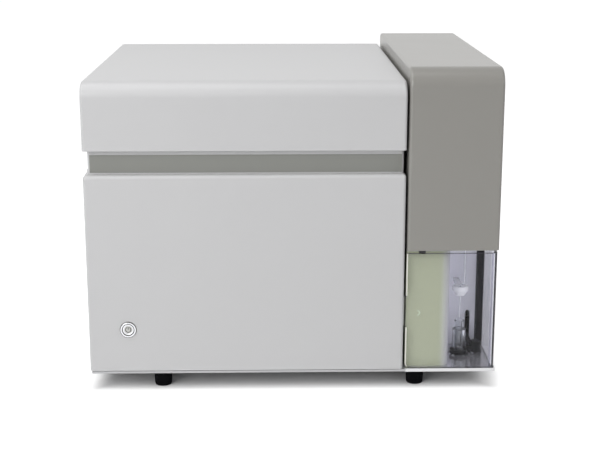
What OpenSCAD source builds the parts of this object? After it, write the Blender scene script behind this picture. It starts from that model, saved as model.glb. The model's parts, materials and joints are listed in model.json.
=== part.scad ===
// Bench-top flow cytometer: cabinet with optics, and a sampling tower with a clear door.
// Millimetres, +Z up, the front faces -Y, the origin is on the bench under the centre.

/* [Overall] */
// Width of cabinet and tower together
total_w = 540; // [500:1:600]
// Depth from the face of the button bezel to the back of the lid
total_d = 483.5; // [450:0.5:560]
// Height of the lid's top face above the bench
cabinet_h = 411; // [400:1:450]
// Height of the tower's top face above the bench
tower_h = 427.6; // [415:0.1:480]
// Width of the sampling tower
tower_w = 121; // [115:1:140]
// Air gap between cabinet and tower
tower_gap = 3; // [2:0.5:6]

/* [Shells] */
// Wall of the moulded shells
wall = 3; // [2:0.5:4]
// Thickness of sheet metal panels
sheet = 2; // [1.5:0.5:3]
// Edge radius of the shells' side edges
edge_r = 4; // [3:0.5:6]
// Height of the lid, skirt to top
lid_h = 88.6; // [80:0.1:100]
// Radius of the lid's front top edge
lid_fillet = 20.5; // [12:0.5:30]
// Radius of the tower's front top edge
tower_fillet = 25; // [15:0.5:35]
// Radius of the rear top edges
rear_fillet = 7; // [5:0.5:12]
// Height of the lower panels' top ledge above the bench
ledge_z = 291; // [280:1:300]
// Depth of the front panel's wrapped sides
front_panel_d = 42; // [36:1:60]
// Set-back of the rear panels from the back of the lid
rear_inset = 14; // [12:1:16]
// Set-back of the belt behind the front panel
belt_inset = 13; // [10:0.5:16]
// Set-back of the belt on the left side
belt_side_inset = 5; // [3:0.5:8]
// Set-back of the belt on the tower side
belt_right_inset = 2; // [1.5:0.5:4]
// Thickness of the belt ring
belt_wall = 4; // [3:0.5:5]
// Air gap between belt and lid skirt
lid_gap = 2.5; // [2:0.1:4]
// Width of the lid's inner rim flange
lid_rim = 24; // [20:1:30]

/* [Inlay] */
// Height of the grey inlay strip
inlay_h = 23.3; // [15:0.1:25]
// Thickness of the inlay strip
inlay_t = 1.2; // [0.8:0.1:2]
// Bare border at the inlay's ends
inlay_end = 3; // [1:0.5:6]

/* [Base] */
// Height of the rubber feet
foot_h = 22; // [18:1:26]
// Diameter of a foot
foot_d = 25; // [20:1:32]
// Plate thickness of the base tray
tray_t = 3; // [2:0.5:4]
// Height of the tray's upstanding flange
tray_flange = 14; // [10:1:20]
// Distance of the feet from the front and rear faces
foot_edge = 22.5; // [20:0.5:40]
// Distance of the left feet from the left side
foot_left = 95; // [40:1:120]
// Distance of the right feet from the tower's right side
foot_right = 105.5; // [60:0.5:120]
// Dark seam between tray and panels
seam = 1.3; // [0.8:0.1:2]

/* [Button] */
// Outer diameter of the button bezel
bezel_d = 22; // [18:0.5:28]
// Diameter of the bezel's threaded barrel
barrel_d = 19; // [16:0.5:22]
// Length of the barrel behind the panel's face
barrel_l = 14; // [12:1:20]
// Diameter of the moving button
button_d = 15.4; // [12:0.1:16]
// Travel of the button
button_travel = 2.5; // [1.5:0.1:3]
// How far the bezel stands proud of the panel
bezel_proud = 1.5; // [1:0.1:2.5]
// Distance of the button from the left side
button_x = 52.3; // [40:0.1:80]
// Height of the button above the bench
button_z = 83.9; // [60:0.1:120]

/* [Sample bay] */
// Height of the tower cover's lower edge above the bench
bay_top = 189.3; // [180:0.1:205]
// Depth of the bay behind the front face
bay_d = 100; // [100:1:120]
// Thickness of the clear door
door_t = 4; // [3:0.5:5]
// Outer radius of the door's front corner
door_corner = 9; // [6:0.5:14]
// Gap over and under the door
door_gap = 0.5; // [0.4:0.1:1]
// Height of the slot between door and tower cover
door_top_gap = 3.9; // [3:0.1:6]
// Height of the finger tab
tab_h = 43; // [30:1:60]
// Height of the finger tab's middle above the bench
tab_z = 106.5; // [90:0.5:130]
// How far the tab stands out of the door's left edge
tab_out = 2.5; // [1.5:0.1:2.6]
// Width of the square pivot bar
bar_w = 10; // [8:0.5:12]
// Distance of the pivot axis from the front face
pivot_y = 88; // [84:0.5:90]
// Diameter of the pivot pins
pivot_pin_d = 4; // [3:0.5:5]
// Distance of the bay's housing behind the front face
housing_set = 10; // [8:1:16]
// Radius of the housing's corner beside the tube
housing_r = 12; // [6:1:20]
// Side gap between the housing and the tube's clamp
housing_gap = 8; // [5:1:12]

/* [Sample lift] */
// Travel of the sample lift
lift_travel = 34; // [20:1:35]
// Diameter of the lead screw
screw_d = 8; // [6:0.5:10]
// Diameter of the two guide rods
rod_d = 6; // [5:0.5:8]
// Distance of the tube's axis from the tower's left side
tube_x = 79.7; // [60:0.1:84]
// Distance of the tube's axis behind the front face
tube_y = 58; // [45:1:66]
// Outer diameter of the clear tube holder
holder_d = 18.5; // [16:0.5:22]
// Height of the tube holder
holder_h = 36; // [30:1:42]
// Outer diameter of the sample tube
tube_d = 12; // [10:0.5:14]
// Length of the sample tube
tube_l = 46; // [40:1:50]
// Wall of the sample tube
tube_wall = 1; // [0.8:0.1:1.5]
// Outer diameter of the wash station
wash_d = 22; // [18:0.5:26]
// Height of the wash station's underside above the bench
wash_z = 118; // [116:1:130]

/* [Optics] */
// Length of the optical bench plate
bench_w = 350; // [320:1:360]
// Depth of the optical bench plate
bench_d = 330; // [280:1:340]
// Thickness of the optical bench plate
bench_t = 15; // [10:1:20]
// Height of the optical bench's top face above the bench top
bench_z = 228; // [215:1:240]
// Height of the laser beams above the optical bench
beam_h = 40; // [30:1:50]

/* [Cooling] */
// Size of the square fan frames
fan_w = 80; // [60:1:92]
// Depth of the fan frames
fan_t = 25; // [20:1:30]
// Number of blades on a fan
fan_blades = 7; // [5:1:9]

/* [Fits] */
// Gap between pieces that seat in each other
seat = 0.3; // [0.2:0.05:0.4]
// Radial running clearance of pins in their bores
run = 0.05; // [0.02:0.01:0.08]

/* [Hidden] */
$fn = 48;
cut = 1;                                    // overshoot of cutting tools

x0 = -total_w / 2;                          // cabinet's left side
xt1 = total_w / 2;                          // tower's right side
xt0 = xt1 - tower_w;                        // tower's left side
x1 = xt0 - tower_gap;                       // cabinet's right side
yf = -total_d / 2 + bezel_proud;            // front plane of panels and door
yb = total_d / 2;                           // back of lid and tower
rear_y = yb - rear_inset;                   // outer face of the rear panel
tray_top = foot_h + tray_t;
panel_z = tray_top + seam;                  // lower edge of the panels
lid_z = cabinet_h - lid_h;                  // lower edge of the lid
belt_top = lid_z - lid_gap;
tray_edge = 2;                              // set-back of the tray behind the panels

paint = [0.83, 0.83, 0.84];
warm_paint = [0.57, 0.56, 0.54];
rear_paint = [0.70, 0.70, 0.71];
inlay_grey = [0.57, 0.57, 0.56];
steel = [0.72, 0.73, 0.75];
dark = [0.12, 0.12, 0.13];
clear = [0.75, 0.74, 0.80, 0.35];

// ---------- shared shapes ----------

module box(a, b) {
  translate(a) cube(b - a);
}

// Rectangle with rounded corners, its lower left corner at the origin
module rrect(w, h, r) {
  translate([r, 0]) square([w - 2 * r, h]);
  translate([0, r]) square([w, h - 2 * r]);
  for (x = [r, w - r], y = [r, h - r]) translate([x, y]) circle(r);
}

// Rectangle with its two upper corners rounded
module arch(w, h, r) {
  square([w, h - r]);
  translate([r, 0]) square([w - 2 * r, h]);
  for (x = [r, w - r]) translate([x, h - r]) circle(r);
}

// Cross-section of a bend: t is radial, w lies along the bend's axis, outer corners rounded
module rim(t, w, r) {
  square([t - r, w]);
  translate([0, r]) square([t, w - 2 * r]);
  intersection() {
    for (y = [r, w - r]) translate([t - r, y]) circle(r);
    translate([t - r, 0]) square([r, w]);
  }
}

// Solid hood with bent front (rf) and rear (rr) top edges and rounded side edges (r)
module hood(w, d, h, rf, rr, r) {
  linear_extrude(h - rf) rrect(w, d, r);
  translate([0, rf, 0]) linear_extrude(h - rr) rrect(w, d - rf, r);
  translate([0, d - rr, h - rf]) rotate([90, 0, 0]) linear_extrude(d - rr - rf) arch(w, rf, r);
  translate([0, rf, h - rf]) rotate([90, 0, 90]) rotate([0, 0, 90])
    rotate_extrude(angle = 90) rim(rf, w, r);
  translate([0, d - rr, h - rr]) rotate([90, 0, 90])
    rotate_extrude(angle = 90) rim(rr, w, r);
}

// Hollow hood of even wall, open below
module hood_shell(w, d, h, rf, rr, r) {
  inner_r = max(r - wall, 1);
  difference() {
    hood(w, d, h, rf, rr, r);
    translate([wall, wall, -cut])
      hood(w - 2 * wall, d - 2 * wall, h - wall + cut, rf - wall, max(rr - wall, inner_r + 1), inner_r);
  }
}

// Plate standing across Y, drawn in (x, z), filling y to y + t
module across_y(y, t) {
  translate([0, y + t, 0]) rotate([90, 0, 0]) linear_extrude(t) children();
}

// Plate standing across X, drawn in (y, z), filling x to x + t
module across_x(x, t) {
  translate([x, 0, 0]) rotate([90, 0, 90]) linear_extrude(t) children();
}

// Upright slot with round ends, centred
module slot(w, h) {
  square([w, h - w], center = true);
  for (s = [-1, 1]) translate([0, s * (h - w) / 2]) circle(w / 2);
}

module slot_row(count, pitch, w, h) {
  for (i = [0:count - 1]) translate([(i - (count - 1) / 2) * pitch, 0]) slot(w, h);
}

// Cylinder along +Y from y0 to y1
module rod_y(x, z, r, y0, y1) {
  translate([x, y0, z]) rotate([-90, 0, 0]) cylinder(r = r, h = y1 - y0);
}

// Cylinder along +X from xa to xb
module rod_x(y, z, r, xa, xb) {
  translate([xa, y, z]) rotate([0, 90, 0]) cylinder(r = r, h = xb - xa);
}

// Cylinder along +Z from za to zb
module rod_z(x, y, r, za, zb) {
  translate([x, y, za]) cylinder(r = r, h = zb - za);
}

function unit(v) = v / norm(v);
function bezier(p, t) = pow(1 - t, 3) * p[0] + 3 * pow(1 - t, 2) * t * p[1]
  + 3 * (1 - t) * t * t * p[2] + pow(t, 3) * p[3];

// Flexible tube along one Bezier curve; side is a direction that the curve never runs along
module flex_tube(p, r, side, rings = 24, sides = 8) {
  c = [for (i = [0:rings]) bezier(p, i / rings)];
  t = [for (i = [0:rings]) unit(i == 0 ? p[1] - p[0] : i == rings ? p[3] - p[2] : c[i + 1] - c[i - 1])];
  ring = [for (i = [0:rings]) let (n = unit(cross(t[i], side)), b = cross(t[i], n))
    for (k = [0:sides - 1]) c[i] + r * (cos(360 * k / sides) * n + sin(360 * k / sides) * b)];
  walls = [for (i = [0:rings - 1], k = [0:sides - 1]) let (a = i * sides + k,
    b = i * sides + (k + 1) % sides) each [[a, b, b + sides], [a, b + sides, a + sides]]];
  polyhedron(ring, concat(walls,
    [[for (k = [sides - 1:-1:0]) k], [for (k = [0:sides - 1]) rings * sides + k]]));
}

// ---------- base ----------

foot_x = [x0 + foot_left, xt1 - foot_right];
foot_y = [yf + foot_edge, yb - foot_edge];
stud_r = 3;

module base_tray() {
  inner = wall + seat;
  flange_t = 2;
  color(rear_paint) difference() {
    union() {
      box([x0 + tray_edge, yf + tray_edge, foot_h], [xt1 - tray_edge, yb - tray_edge, tray_top]);
      tray_rim(x0 + inner, x1 - inner, yf + inner, rear_y - sheet - seat, flange_t);
      tray_rim(xt0 + inner, xt1 - inner, shell_y + inner, yb - inner, flange_t);
    }
    for (x = foot_x, y = foot_y) rod_z(x, y, stud_r + seat, foot_h - cut, tray_top + cut);
    box([xt0 + inner + flange_t, shell_y, tray_top],
      [xt1 - inner - flange_t, shell_y + inner + flange_t + cut, tray_top + tray_flange + cut]);
  }
}

// Upstanding flange of the tray, a rectangular ring
module tray_rim(xa, xb, ya, yc, t) {
  translate([0, 0, tray_top - cut]) linear_extrude(tray_flange + cut) difference() {
    translate([xa, ya]) square([xb - xa, yc - ya]);
    translate([xa + t, ya + t]) square([xb - xa - 2 * t, yc - ya - 2 * t]);
  }
}

module feet() {
  r = foot_d / 2;
  toe = 1.5;
  color(dark) for (x = foot_x, y = foot_y) translate([x, y, 0]) rotate_extrude()
    polygon([[0, 3], [r / 2, 3], [r / 2, 0], [r - toe - 1, 0], [r - toe, 1], [r - 0.4, foot_h - 4],
      [r, foot_h - 3], [r, foot_h], [stud_r, foot_h], [stud_r, tray_top - seat], [0, tray_top - seat]]);
}

// ---------- cabinet panels ----------

cab_w = x1 - x0;
panel_h = ledge_z - panel_z;
joint_line = 0.6;                           // fine gap between neighbouring panels
side_y0 = yf + front_panel_d + joint_line;
rail_w = 20;                                // width of the inward rails that carry the belt
button_at = [x0 + button_x, button_z];

module front_panel() {
  top_r = edge_r + 1;
  color(paint) difference() {
    translate([x0, yf, panel_z])
      hood(cab_w, front_panel_d + 2 * edge_r, panel_h, top_r, top_r, edge_r);
    box([x0 + wall, yf + wall, panel_z - cut],
      [x1 - wall, yf + front_panel_d + cut, ledge_z - wall]);
    box([x0 - cut, yf + front_panel_d, panel_z - cut],
      [x1 + cut, yf + front_panel_d + 3 * edge_r, ledge_z + cut]);
    rod_y(button_at[0], button_at[1], barrel_d / 2 + seat, yf - cut, yf + wall + cut);
  }
}

// Side panel outline in (y, z), with its intake slots
module side_outline() {
  translate([side_y0, panel_z]) square([yb - side_y0, panel_h]);
}

module left_panel() {
  vent_z = 110;
  color(paint) {
    across_x(x0, wall) difference() {
      side_outline();
      for (row = [-1, 1]) translate([side_y0 + (yb - side_y0) * 0.55, vent_z + row * 24])
        slot_row(16, 12, 4, 36);
    }
    box([x0 + wall, side_y0, ledge_z - wall], [x0 + rail_w, yb - rear_inset - sheet, ledge_z]);
  }
}

module right_panel() {
  color(paint) {
    across_x(x1 - wall, wall) difference() {
      side_outline();
      translate([line_window[0], line_window[1]]) circle(16);
    }
    box([x1 - rail_w, side_y0, ledge_z - wall], [x1 - wall, yb - rear_inset - sheet, ledge_z]);
  }
}

// Place of the opening in the right panel where sample line and lift cable pass, (y, z)
line_window = [yf + 150, 240];

fan_pitch = fan_w + 16;
fan_z = 168;
fan_x = [for (i = [0:1]) x0 + 38 + fan_w / 2 + i * fan_pitch];
fan_bore = fan_w / 2 - 2;
fan_hole = fan_w / 2 - 4.5;                 // corner hole distance from the fan's axis
inlet_at = [x0 + 62, 66];
ports_at = [x0 + 190, 60];
fitting_x = [for (i = [0:2]) ports_at[0] + 60 + i * 24];
fitting_z = 64;
fitting_r = 3.2;
fitting_thread = 6;

module rear_panel() {
  color(rear_paint) {
    difference() {
      across_y(rear_y - sheet, sheet) difference() {
        translate([x0 + wall + seat, panel_z])
          square([cab_w - 2 * (wall + seat), panel_h - wall - seat]);
        for (x = fan_x) translate([x, fan_z]) {
          circle(fan_bore);
          for (sx = [-1, 1], sz = [-1, 1]) translate([sx * fan_hole, sz * fan_hole]) circle(2.2);
        }
        translate([inlet_at[0] - 14, inlet_at[1] - 24]) square([28, 48]);
        translate([ports_at[0] - 36, ports_at[1] - 9]) square([72, 18]);
        for (x = fitting_x) translate([x, fitting_z]) circle(fitting_thread + seat);
        translate([x1 - 74, 190]) slot_row(8, 12, 4, 50);
      }
    }
    box([x0 + rail_w + seat, rear_y - sheet, ledge_z - wall - 2 * seat],
      [x1 - rail_w - seat, rear_y, ledge_z]);
    box([x0 + rail_w + seat, rear_y - rail_w, ledge_z - wall],
      [x1 - rail_w - seat, rear_y - sheet, ledge_z]);
  }
}

// ---------- belt ----------

bx0 = x0 + belt_side_inset;
bx1 = x1 - belt_right_inset;
by0 = yf + belt_inset;
hinge_y = yb - 8;                           // lid hinge axis
hinge_z = lid_z - 5.4;
knuckle_r = 4.5;
bracket_t = 2;
by1 = hinge_y - knuckle_r - bracket_t - 1.5;
inlay_z = ledge_z + 1.4;
inlay_sink = inlay_t - 0.3;

module belt() {
  r = edge_r;
  flange = 12;
  difference() {
    color(paint) union() {
      translate([bx0, by0, ledge_z]) linear_extrude(belt_top - ledge_z) difference() {
        rrect(bx1 - bx0, by1 - by0, r);
        translate([belt_wall, belt_wall])
          rrect(bx1 - bx0 - 2 * belt_wall, by1 - by0 - 2 * belt_wall, 1);
      }
      translate([bx0, by0, belt_top - sheet]) linear_extrude(sheet) difference() {
        rrect(bx1 - bx0, by1 - by0, r);
        translate([belt_wall + flange, belt_wall + flange])
          rrect(bx1 - bx0 - 2 * (belt_wall + flange), by1 - by0 - 2 * (belt_wall + flange), 6);
      }
    }
    box([bx0 + inlay_end, by0 - cut, inlay_z], [bx1 - inlay_end, by0 + inlay_sink, inlay_z + inlay_h]);
  }
}

module belt_inlay() {
  color(inlay_grey)
    box([bx0 + inlay_end, by0 + inlay_sink - inlay_t, inlay_z],
      [bx1 - inlay_end, by0 + inlay_sink, inlay_z + inlay_h]);
}

// ---------- lid and its hinges ----------

hinge_x = [x0 + 90, x1 - 90];
hinge_w = 60;
knuckle_gap = 0.4;
hinge_pin_r = 2;

module top_lid() {
  d = yb - yf;
  color(paint) {
    translate([x0, yf, lid_z]) hood_shell(cab_w, d, lid_h, lid_fillet, rear_fillet, edge_r);
    translate([x0 + wall, yf + wall, lid_z]) linear_extrude(wall) difference() {
      square([cab_w - 2 * wall, d - 2 * wall]);
      translate([lid_rim - wall, lid_rim - wall])
        rrect(cab_w - 2 * lid_rim, d - 2 * lid_rim, 8);
    }
  }
}

module lid_bumpers() {
  color(dark) for (x = [bx0 + 40, bx1 - 40]) translate([x, by0 + 6, belt_top])
    rotate_extrude() polygon([[0, 0], [4.5, 0], [4.5, 0.8], [3.6, lid_gap - seat], [0, lid_gap - seat]]);
}

module lid_hinge_brackets() {
  half = hinge_w / 4;
  color(steel) for (x = hinge_x) difference() {
    union() {
      rod_x(hinge_y, hinge_z, knuckle_r, x - half, x + half);
      box([x - half, by1, hinge_z - knuckle_r], [x + half, hinge_y, hinge_z - knuckle_r + bracket_t]);
      box([x - half, by1, ledge_z + 4], [x + half, by1 + bracket_t, hinge_z - knuckle_r + bracket_t]);
    }
    rod_x(hinge_y, hinge_z, hinge_pin_r + run, x - hinge_w, x + hinge_w);
  }
}

module lid_hinge_leaves() {
  half = hinge_w / 4;
  pad_y = 7;
  color(steel) for (x = hinge_x, s = [-1, 1]) {
    xa = s < 0 ? x - hinge_w / 2 : x + half + knuckle_gap;
    xb = s < 0 ? x - half - knuckle_gap : x + hinge_w / 2;
    difference() {
      union() {
        rod_x(hinge_y, hinge_z, knuckle_r, xa, xb);
        box([xa, hinge_y - knuckle_r, hinge_z], [xb, hinge_y + knuckle_r, lid_z]);
      }
      rod_x(hinge_y, hinge_z, hinge_pin_r + run, xa - cut, xb + cut);
    }
  }
}

module lid_hinge_pins() {
  color(steel) for (x = hinge_x)
    rod_x(hinge_y, hinge_z, hinge_pin_r, x - hinge_w / 2, x + hinge_w / 2);
}

// ---------- power button ----------

bezel_bore = button_d / 2 + seat;
stem_r = 3.5;
switch_y = yf + barrel_l;

module button_bezel() {
  x = button_at[0];
  z = button_at[1];
  nut_r = 13;
  color(steel) difference() {
    union() {
      translate([x, yf - bezel_proud, z]) rotate([-90, 0, 0]) rotate_extrude()
        polygon([[0, 0], [bezel_d / 2 - 1.6, 0], [bezel_d / 2, 1],
          [bezel_d / 2, bezel_proud], [0, bezel_proud]]);
      rod_y(x, z, barrel_d / 2, yf, switch_y);
      translate([x, yf + wall, z]) rotate([-90, 0, 0]) cylinder(r = nut_r, h = 3, $fn = 6);
    }
    rod_y(x, z, bezel_bore, yf - bezel_proud - cut, switch_y + cut);
  }
}

module power_button() {
  x = button_at[0];
  z = button_at[1];
  cap_y = yf - bezel_proud + 0.6;
  r = button_d / 2;
  color([0.8, 0.8, 0.81]) translate([x, cap_y, z]) rotate([-90, 0, 0]) rotate_extrude()
    polygon([[0, 0.5], [2.6, 0.5], [2.6, 0], [3.2, 0], [3.2, 0.5], [r - 2.2, 0.5], [r - 1.8, 0], [r - 0.5, 0],
      [r, 0.5], [r, 6], [stem_r, 6], [stem_r, switch_y - cap_y + 1], [0, switch_y - cap_y + 1]]);
}

module button_switch() {
  x = button_at[0];
  z = button_at[1];
  r = barrel_d / 2 - 0.5;
  color(dark) difference() {
    union() {
      rod_y(x, z, r, switch_y, switch_y + 18);
      for (s = [-1, 1])
        box([x + s * 4 - 1.2, switch_y + 18, z - 0.4], [x + s * 4 + 1.2, switch_y + 24, z + 0.4]);
    }
    rod_y(x, z, stem_r + seat, switch_y - cut, switch_y + button_travel + 3);
  }
}

// ---------- optical bench ----------

bench_x0 = x0 + 20;
bench_y0 = yf + 50;
bench_under = bench_z - bench_t;
isolator_h = 12;
isolator_r = 14;
leg_w = 20;
leg_inset = 20;
frame_top = bench_under - isolator_h;
leg_x = [bench_x0 + leg_inset, bench_x0 + bench_w - leg_inset - leg_w];
leg_y = [bench_y0 + leg_inset, bench_y0 + bench_d - leg_inset - leg_w];

module bench_frame() {
  rail_z = frame_top - leg_w;
  pad = 8;
  pad_t = 4;
  color(steel) {
    for (x = leg_x, y = leg_y) {
      box([x, y, tray_top + pad_t], [x + leg_w, y + leg_w, frame_top]);
      box([x - pad, y - pad, tray_top], [x + leg_w + pad, y + leg_w + pad, tray_top + pad_t]);
    }
    for (x = leg_x) box([x, leg_y[0], rail_z], [x + leg_w, leg_y[1] + leg_w, frame_top]);
    for (y = leg_y) box([leg_x[0], y, rail_z], [leg_x[1] + leg_w, y + leg_w, frame_top]);
  }
}

module bench_isolators() {
  color(dark) for (x = leg_x, y = leg_y) translate([x + leg_w / 2, y + leg_w / 2, frame_top])
    rotate_extrude() polygon([[0, 0], [isolator_r, 0], [isolator_r, 3], [isolator_r - 3, isolator_h / 2],
      [isolator_r, isolator_h - 3], [isolator_r, isolator_h], [0, isolator_h]]);
}

cell_u = 262;                               // flow cell's place on the bench, from its left edge
cell_v = 235;                               // and from its front edge
mirror_u = 190;
laser_v = [49, 117, 183];
laser_l = [120, 140, 110];
laser_w = 48;
laser_h = 58;
detector_v = [39, 99, 159];
detector_u = 210;
detector_size = [116, 50, 46];
line_hole = 4;

// Draws its children with the origin at the bench's front left corner, on its top face
module on_bench() {
  translate([bench_x0, bench_y0, bench_z]) children();
}

module optical_bench() {
  pitch = 45;
  color(steel) difference() {
    translate([bench_x0, bench_y0, bench_under]) linear_extrude(bench_t) rrect(bench_w, bench_d, 12);
    rod_z(bench_x0 + cell_u, bench_y0 + cell_v, line_hole, bench_under - cut, bench_z + cut);
    on_bench() for (i = [0:6]) rod_z(15 + i * pitch, 11, 3, -8, cut);
    on_bench() for (i = [0:6]) rod_z(15 + i * pitch, bench_d - 11, 3, -8, cut);
  }
}

// Laser head: finned body on a base flange, with its exit nose at beam height
module laser_head(i) {
  base_t = 6;
  lip = 5;
  l = laser_l[i];
  fins = floor((l - 20) / 10);
  on_bench() translate([14, laser_v[i] - laser_w / 2, 0]) difference() {
    union() {
      translate([0, -lip, 0]) linear_extrude(base_t) rrect(l, laser_w + 2 * lip, 3);
      box([2, 0, base_t], [l - 2, laser_w, laser_h]);
      rod_x(laser_w / 2, beam_h, 9, l - 2, l + 8);
    }
    for (k = [0:fins - 1]) box([8 + k * 10, -cut, laser_h - 14], [13 + k * 10, laser_w + cut, laser_h + cut]);
    rod_x(laser_w / 2, beam_h, 2.5, l - 8, l + 8 + cut);
  }
}

module violet_laser() { color([0.35, 0.33, 0.42]) laser_head(0); }
module blue_laser() { color([0.28, 0.34, 0.46]) laser_head(1); }
module red_laser() { color([0.40, 0.28, 0.28]) laser_head(2); }

// Mirror mount: post, upright plate at 45 degrees and a round mirror in its bore
module mirror_mount(angle) {
  plate_w = 26;
  plate_t = 6;
  rotate([0, 0, angle]) {
    linear_extrude(8) rrect_centred(30, 22, 3);
    translate([-plate_w / 2, -plate_t / 2, 8]) cube([plate_w, plate_t, beam_h + 8]);
    rod_y(0, beam_h, 9.5, plate_t / 2, plate_t / 2 + 3);
  }
}

module rrect_centred(w, h, r) {
  translate([-w / 2, -h / 2]) rrect(w, h, r);
}

module beam_mirrors() {
  color([0.25, 0.26, 0.28]) on_bench() {
    for (v = laser_v) translate([mirror_u, v, 0]) mirror_mount(45);
    translate([mirror_u, cell_v, 0]) mirror_mount(-135);
  }
}

// Lens barrel on a saddle, axis along +X at beam height
module lens_barrel(l) {
  difference() {
    union() {
      rod_x(0, beam_h, 10, 0, l);
      rod_x(0, beam_h, 12, l * 0.25, l * 0.6);
      translate([l * 0.2, -9, 0]) cube([l * 0.5, 18, beam_h - 6]);
    }
    rod_x(0, beam_h, 7, -cut, l + cut);
  }
  rod_x(0, beam_h, 7, 3, 6);
}

block_w = 40;
lens_l = 24;
objective_l = 36;

module lens_barrels() {
  color(dark) on_bench() {
    translate([cell_u - block_w / 2 - lens_l - 2, cell_v, 0]) lens_barrel(lens_l);
    translate([cell_u, cell_v + block_w / 2 + 2, 0]) rotate([0, 0, 90]) lens_barrel(objective_l);
  }
}

cuvette_w = 8;
cuvette_h = 62;

module flow_cell_block() {
  h = 84;
  color(steel) on_bench() translate([cell_u, cell_v, 0]) difference() {
    union() {
      linear_extrude(h) rrect_centred(block_w, block_w, 4);
      linear_extrude(8) rrect_centred(block_w + 4, block_w - 6, 4);
    }
    translate([-cuvette_w / 2 - seat, -cuvette_w / 2 - seat, 10])
      cube([cuvette_w + 2 * seat, cuvette_w + 2 * seat, h]);
    rod_z(0, 0, 2.2, -cut, 12);
    rod_x(0, beam_h, 6, -block_w, block_w);
    rod_y(0, beam_h, 6, 0, block_w);
  }
}

module flow_cell() {
  color([0.8, 0.9, 0.95, 0.5]) on_bench() translate([cell_u, cell_v, 10]) difference() {
    translate([-cuvette_w / 2, -cuvette_w / 2, 0]) cube([cuvette_w, cuvette_w, cuvette_h]);
    rod_z(0, 0, 1, -cut, cuvette_h + cut);
  }
}

port_l = 8;

module detector_modules() {
  s = detector_size;
  color([0.22, 0.23, 0.25]) on_bench() for (v = detector_v) translate([detector_u, v - s[1] / 2, 0])
    difference() {
      union() {
        linear_extrude(s[2]) rrect(s[0], s[1], 4);
        rod_x(s[1] / 2, 30, 4.5, s[0] - 1, s[0] + port_l);
        for (k = [0:3]) rod_z(20 + k * 25, s[1] / 2, 9, s[2] - 1, s[2] + 6);
      }
      box([-cut, 3, 9], [1.2, s[1] - 3, s[2] - 6]);
    }
}

module optical_fibres() {
  r = 1.5;
  start_v = cell_v + block_w / 2 + 2 + objective_l + seat;
  end_u = detector_u + detector_size[0] + port_l + seat;
  port_z = 30;
  bulge = 1.87 * (x1 - wall - bench_x0 - end_u);
  color("orange") on_bench() for (i = [0:2]) flex_tube([
    [cell_u - 5 + 5 * i, start_v, beam_h + 4 - 4 * i],
    [cell_u - 5 + 5 * i, start_v + 90 - 25 * i, beam_h + 24 - 14 * i],
    [end_u + bulge - 25 * i, detector_v[i], port_z + 20 - 10 * i],
    [end_u, detector_v[i], port_z]], r, [0, 0, 1]);
}

// ---------- electronics and cooling ----------

board_x0 = x0 + 70;
board_y0 = yf + 100;
board_size = [190, 200, 1.6];
board_z = tray_top + 8;

module main_board() {
  s = board_size;
  top = s[2];
  color([0.10, 0.35, 0.22]) translate([board_x0, board_y0, board_z]) {
    linear_extrude(s[2]) rrect(s[0], s[1], 3);
    for (x = [8, s[0] - 8], y = [8, s[1] - 8]) rod_z(x, y, 3, tray_top - board_z, top + 1.5);
    for (i = [0:3]) box([24 + i * 40, 20, top], [46 + i * 40, 42, top + 3]);
    for (i = [0:4]) box([26 + i * 30, s[1] - 24, top], [44 + i * 30, s[1] - 12, top + 11]);
    box([60, 80, top], [110, 130, top + 4]);
    for (i = [0:7]) box([62 + i * 6, 82, top + 4], [64 + i * 6, 128, top + 18]);
    for (i = [0:4]) rod_z(140, 70 + i * 16, 5, top, top + 16);
  }
}

supply_x0 = x0 + 72;
supply_size = [100, 118, 44];
supply_y1 = rear_y - 32;

module power_supply() {
  s = supply_size;
  color(steel) translate([supply_x0, supply_y1 - s[1], tray_top]) difference() {
    cube(s);
    for (i = [0:8]) box([10 + i * 9.5, 12, s[2] - 1.5], [14 + i * 9.5, s[1] - 12, s[2] + cut]);
    box([6, -cut, 12], [s[0] - 6, 10, s[2] - 8]);
  }
}

module power_inlet() {
  x = inlet_at[0];
  z = inlet_at[1];
  color(dark) difference() {
    union() {
      across_y(rear_y, 2.5) translate([x - 17, z - 28]) rrect(34, 56, 2.5);
      box([x - 13.5, rear_y - 22, z - 23.5], [x + 13.5, rear_y, z + 23.5]);
    }
    across_y(rear_y - 16, 30) translate([x - 11, z - 20]) rrect(22, 17, 3);
    box([x - 7, rear_y - 10, z + 4], [x + 7, rear_y + 3, z + 20]);
  }
  color(steel) for (s = [-1, 0, 1]) box([x + s * 7 - 1, rear_y - 16, z - 13 + abs(s) * -3],
    [x + s * 7 + 1, rear_y - 2, z - 9 + abs(s) * -3]);
  color(dark) translate([x, rear_y - 3, z + 12]) rotate([0, 90, 0]) cylinder(r = 6.8, h = 13, center = true);
}

module data_ports() {
  x = ports_at[0];
  z = ports_at[1];
  color(steel) difference() {
    box([x - 35, rear_y - 20, z - 8.5], [x + 35, rear_y + 0.8, z + 8.5]);
    box([x - 30, rear_y - 14, z - 6.5], [x - 14, rear_y + 1 + cut, z + 6.5]);
    for (px = [-4, 16], pz = [-4.5, 4])
      box([x + px, rear_y - 14, z + pz - 2.8], [x + px + 13.4, rear_y + 1 + cut, z + pz + 2.8]);
  }
}

fan_y0 = rear_y - sheet - fan_t;            // inner face of the fan frames
hub_r = fan_w * 0.21;
shaft_r = 1.5;
blade_twist = 42;
rotor_y = fan_y0 + 5;

module fan_frames() {
  strut_t = 4;
  color(dark) for (x = fan_x) {
    across_y(fan_y0, strut_t) translate([x, fan_z]) {
      fan_outline();
      circle(hub_r);
      for (a = [0:90:270]) rotate(a) translate([0, -2]) square([fan_bore + 1, 4]);
    }
    across_y(fan_y0 + strut_t, fan_t - strut_t) translate([x, fan_z]) fan_outline();
    rod_y(x, fan_z, shaft_r, fan_y0 + 1, fan_y0 + fan_t - 4);
  }
}

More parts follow.
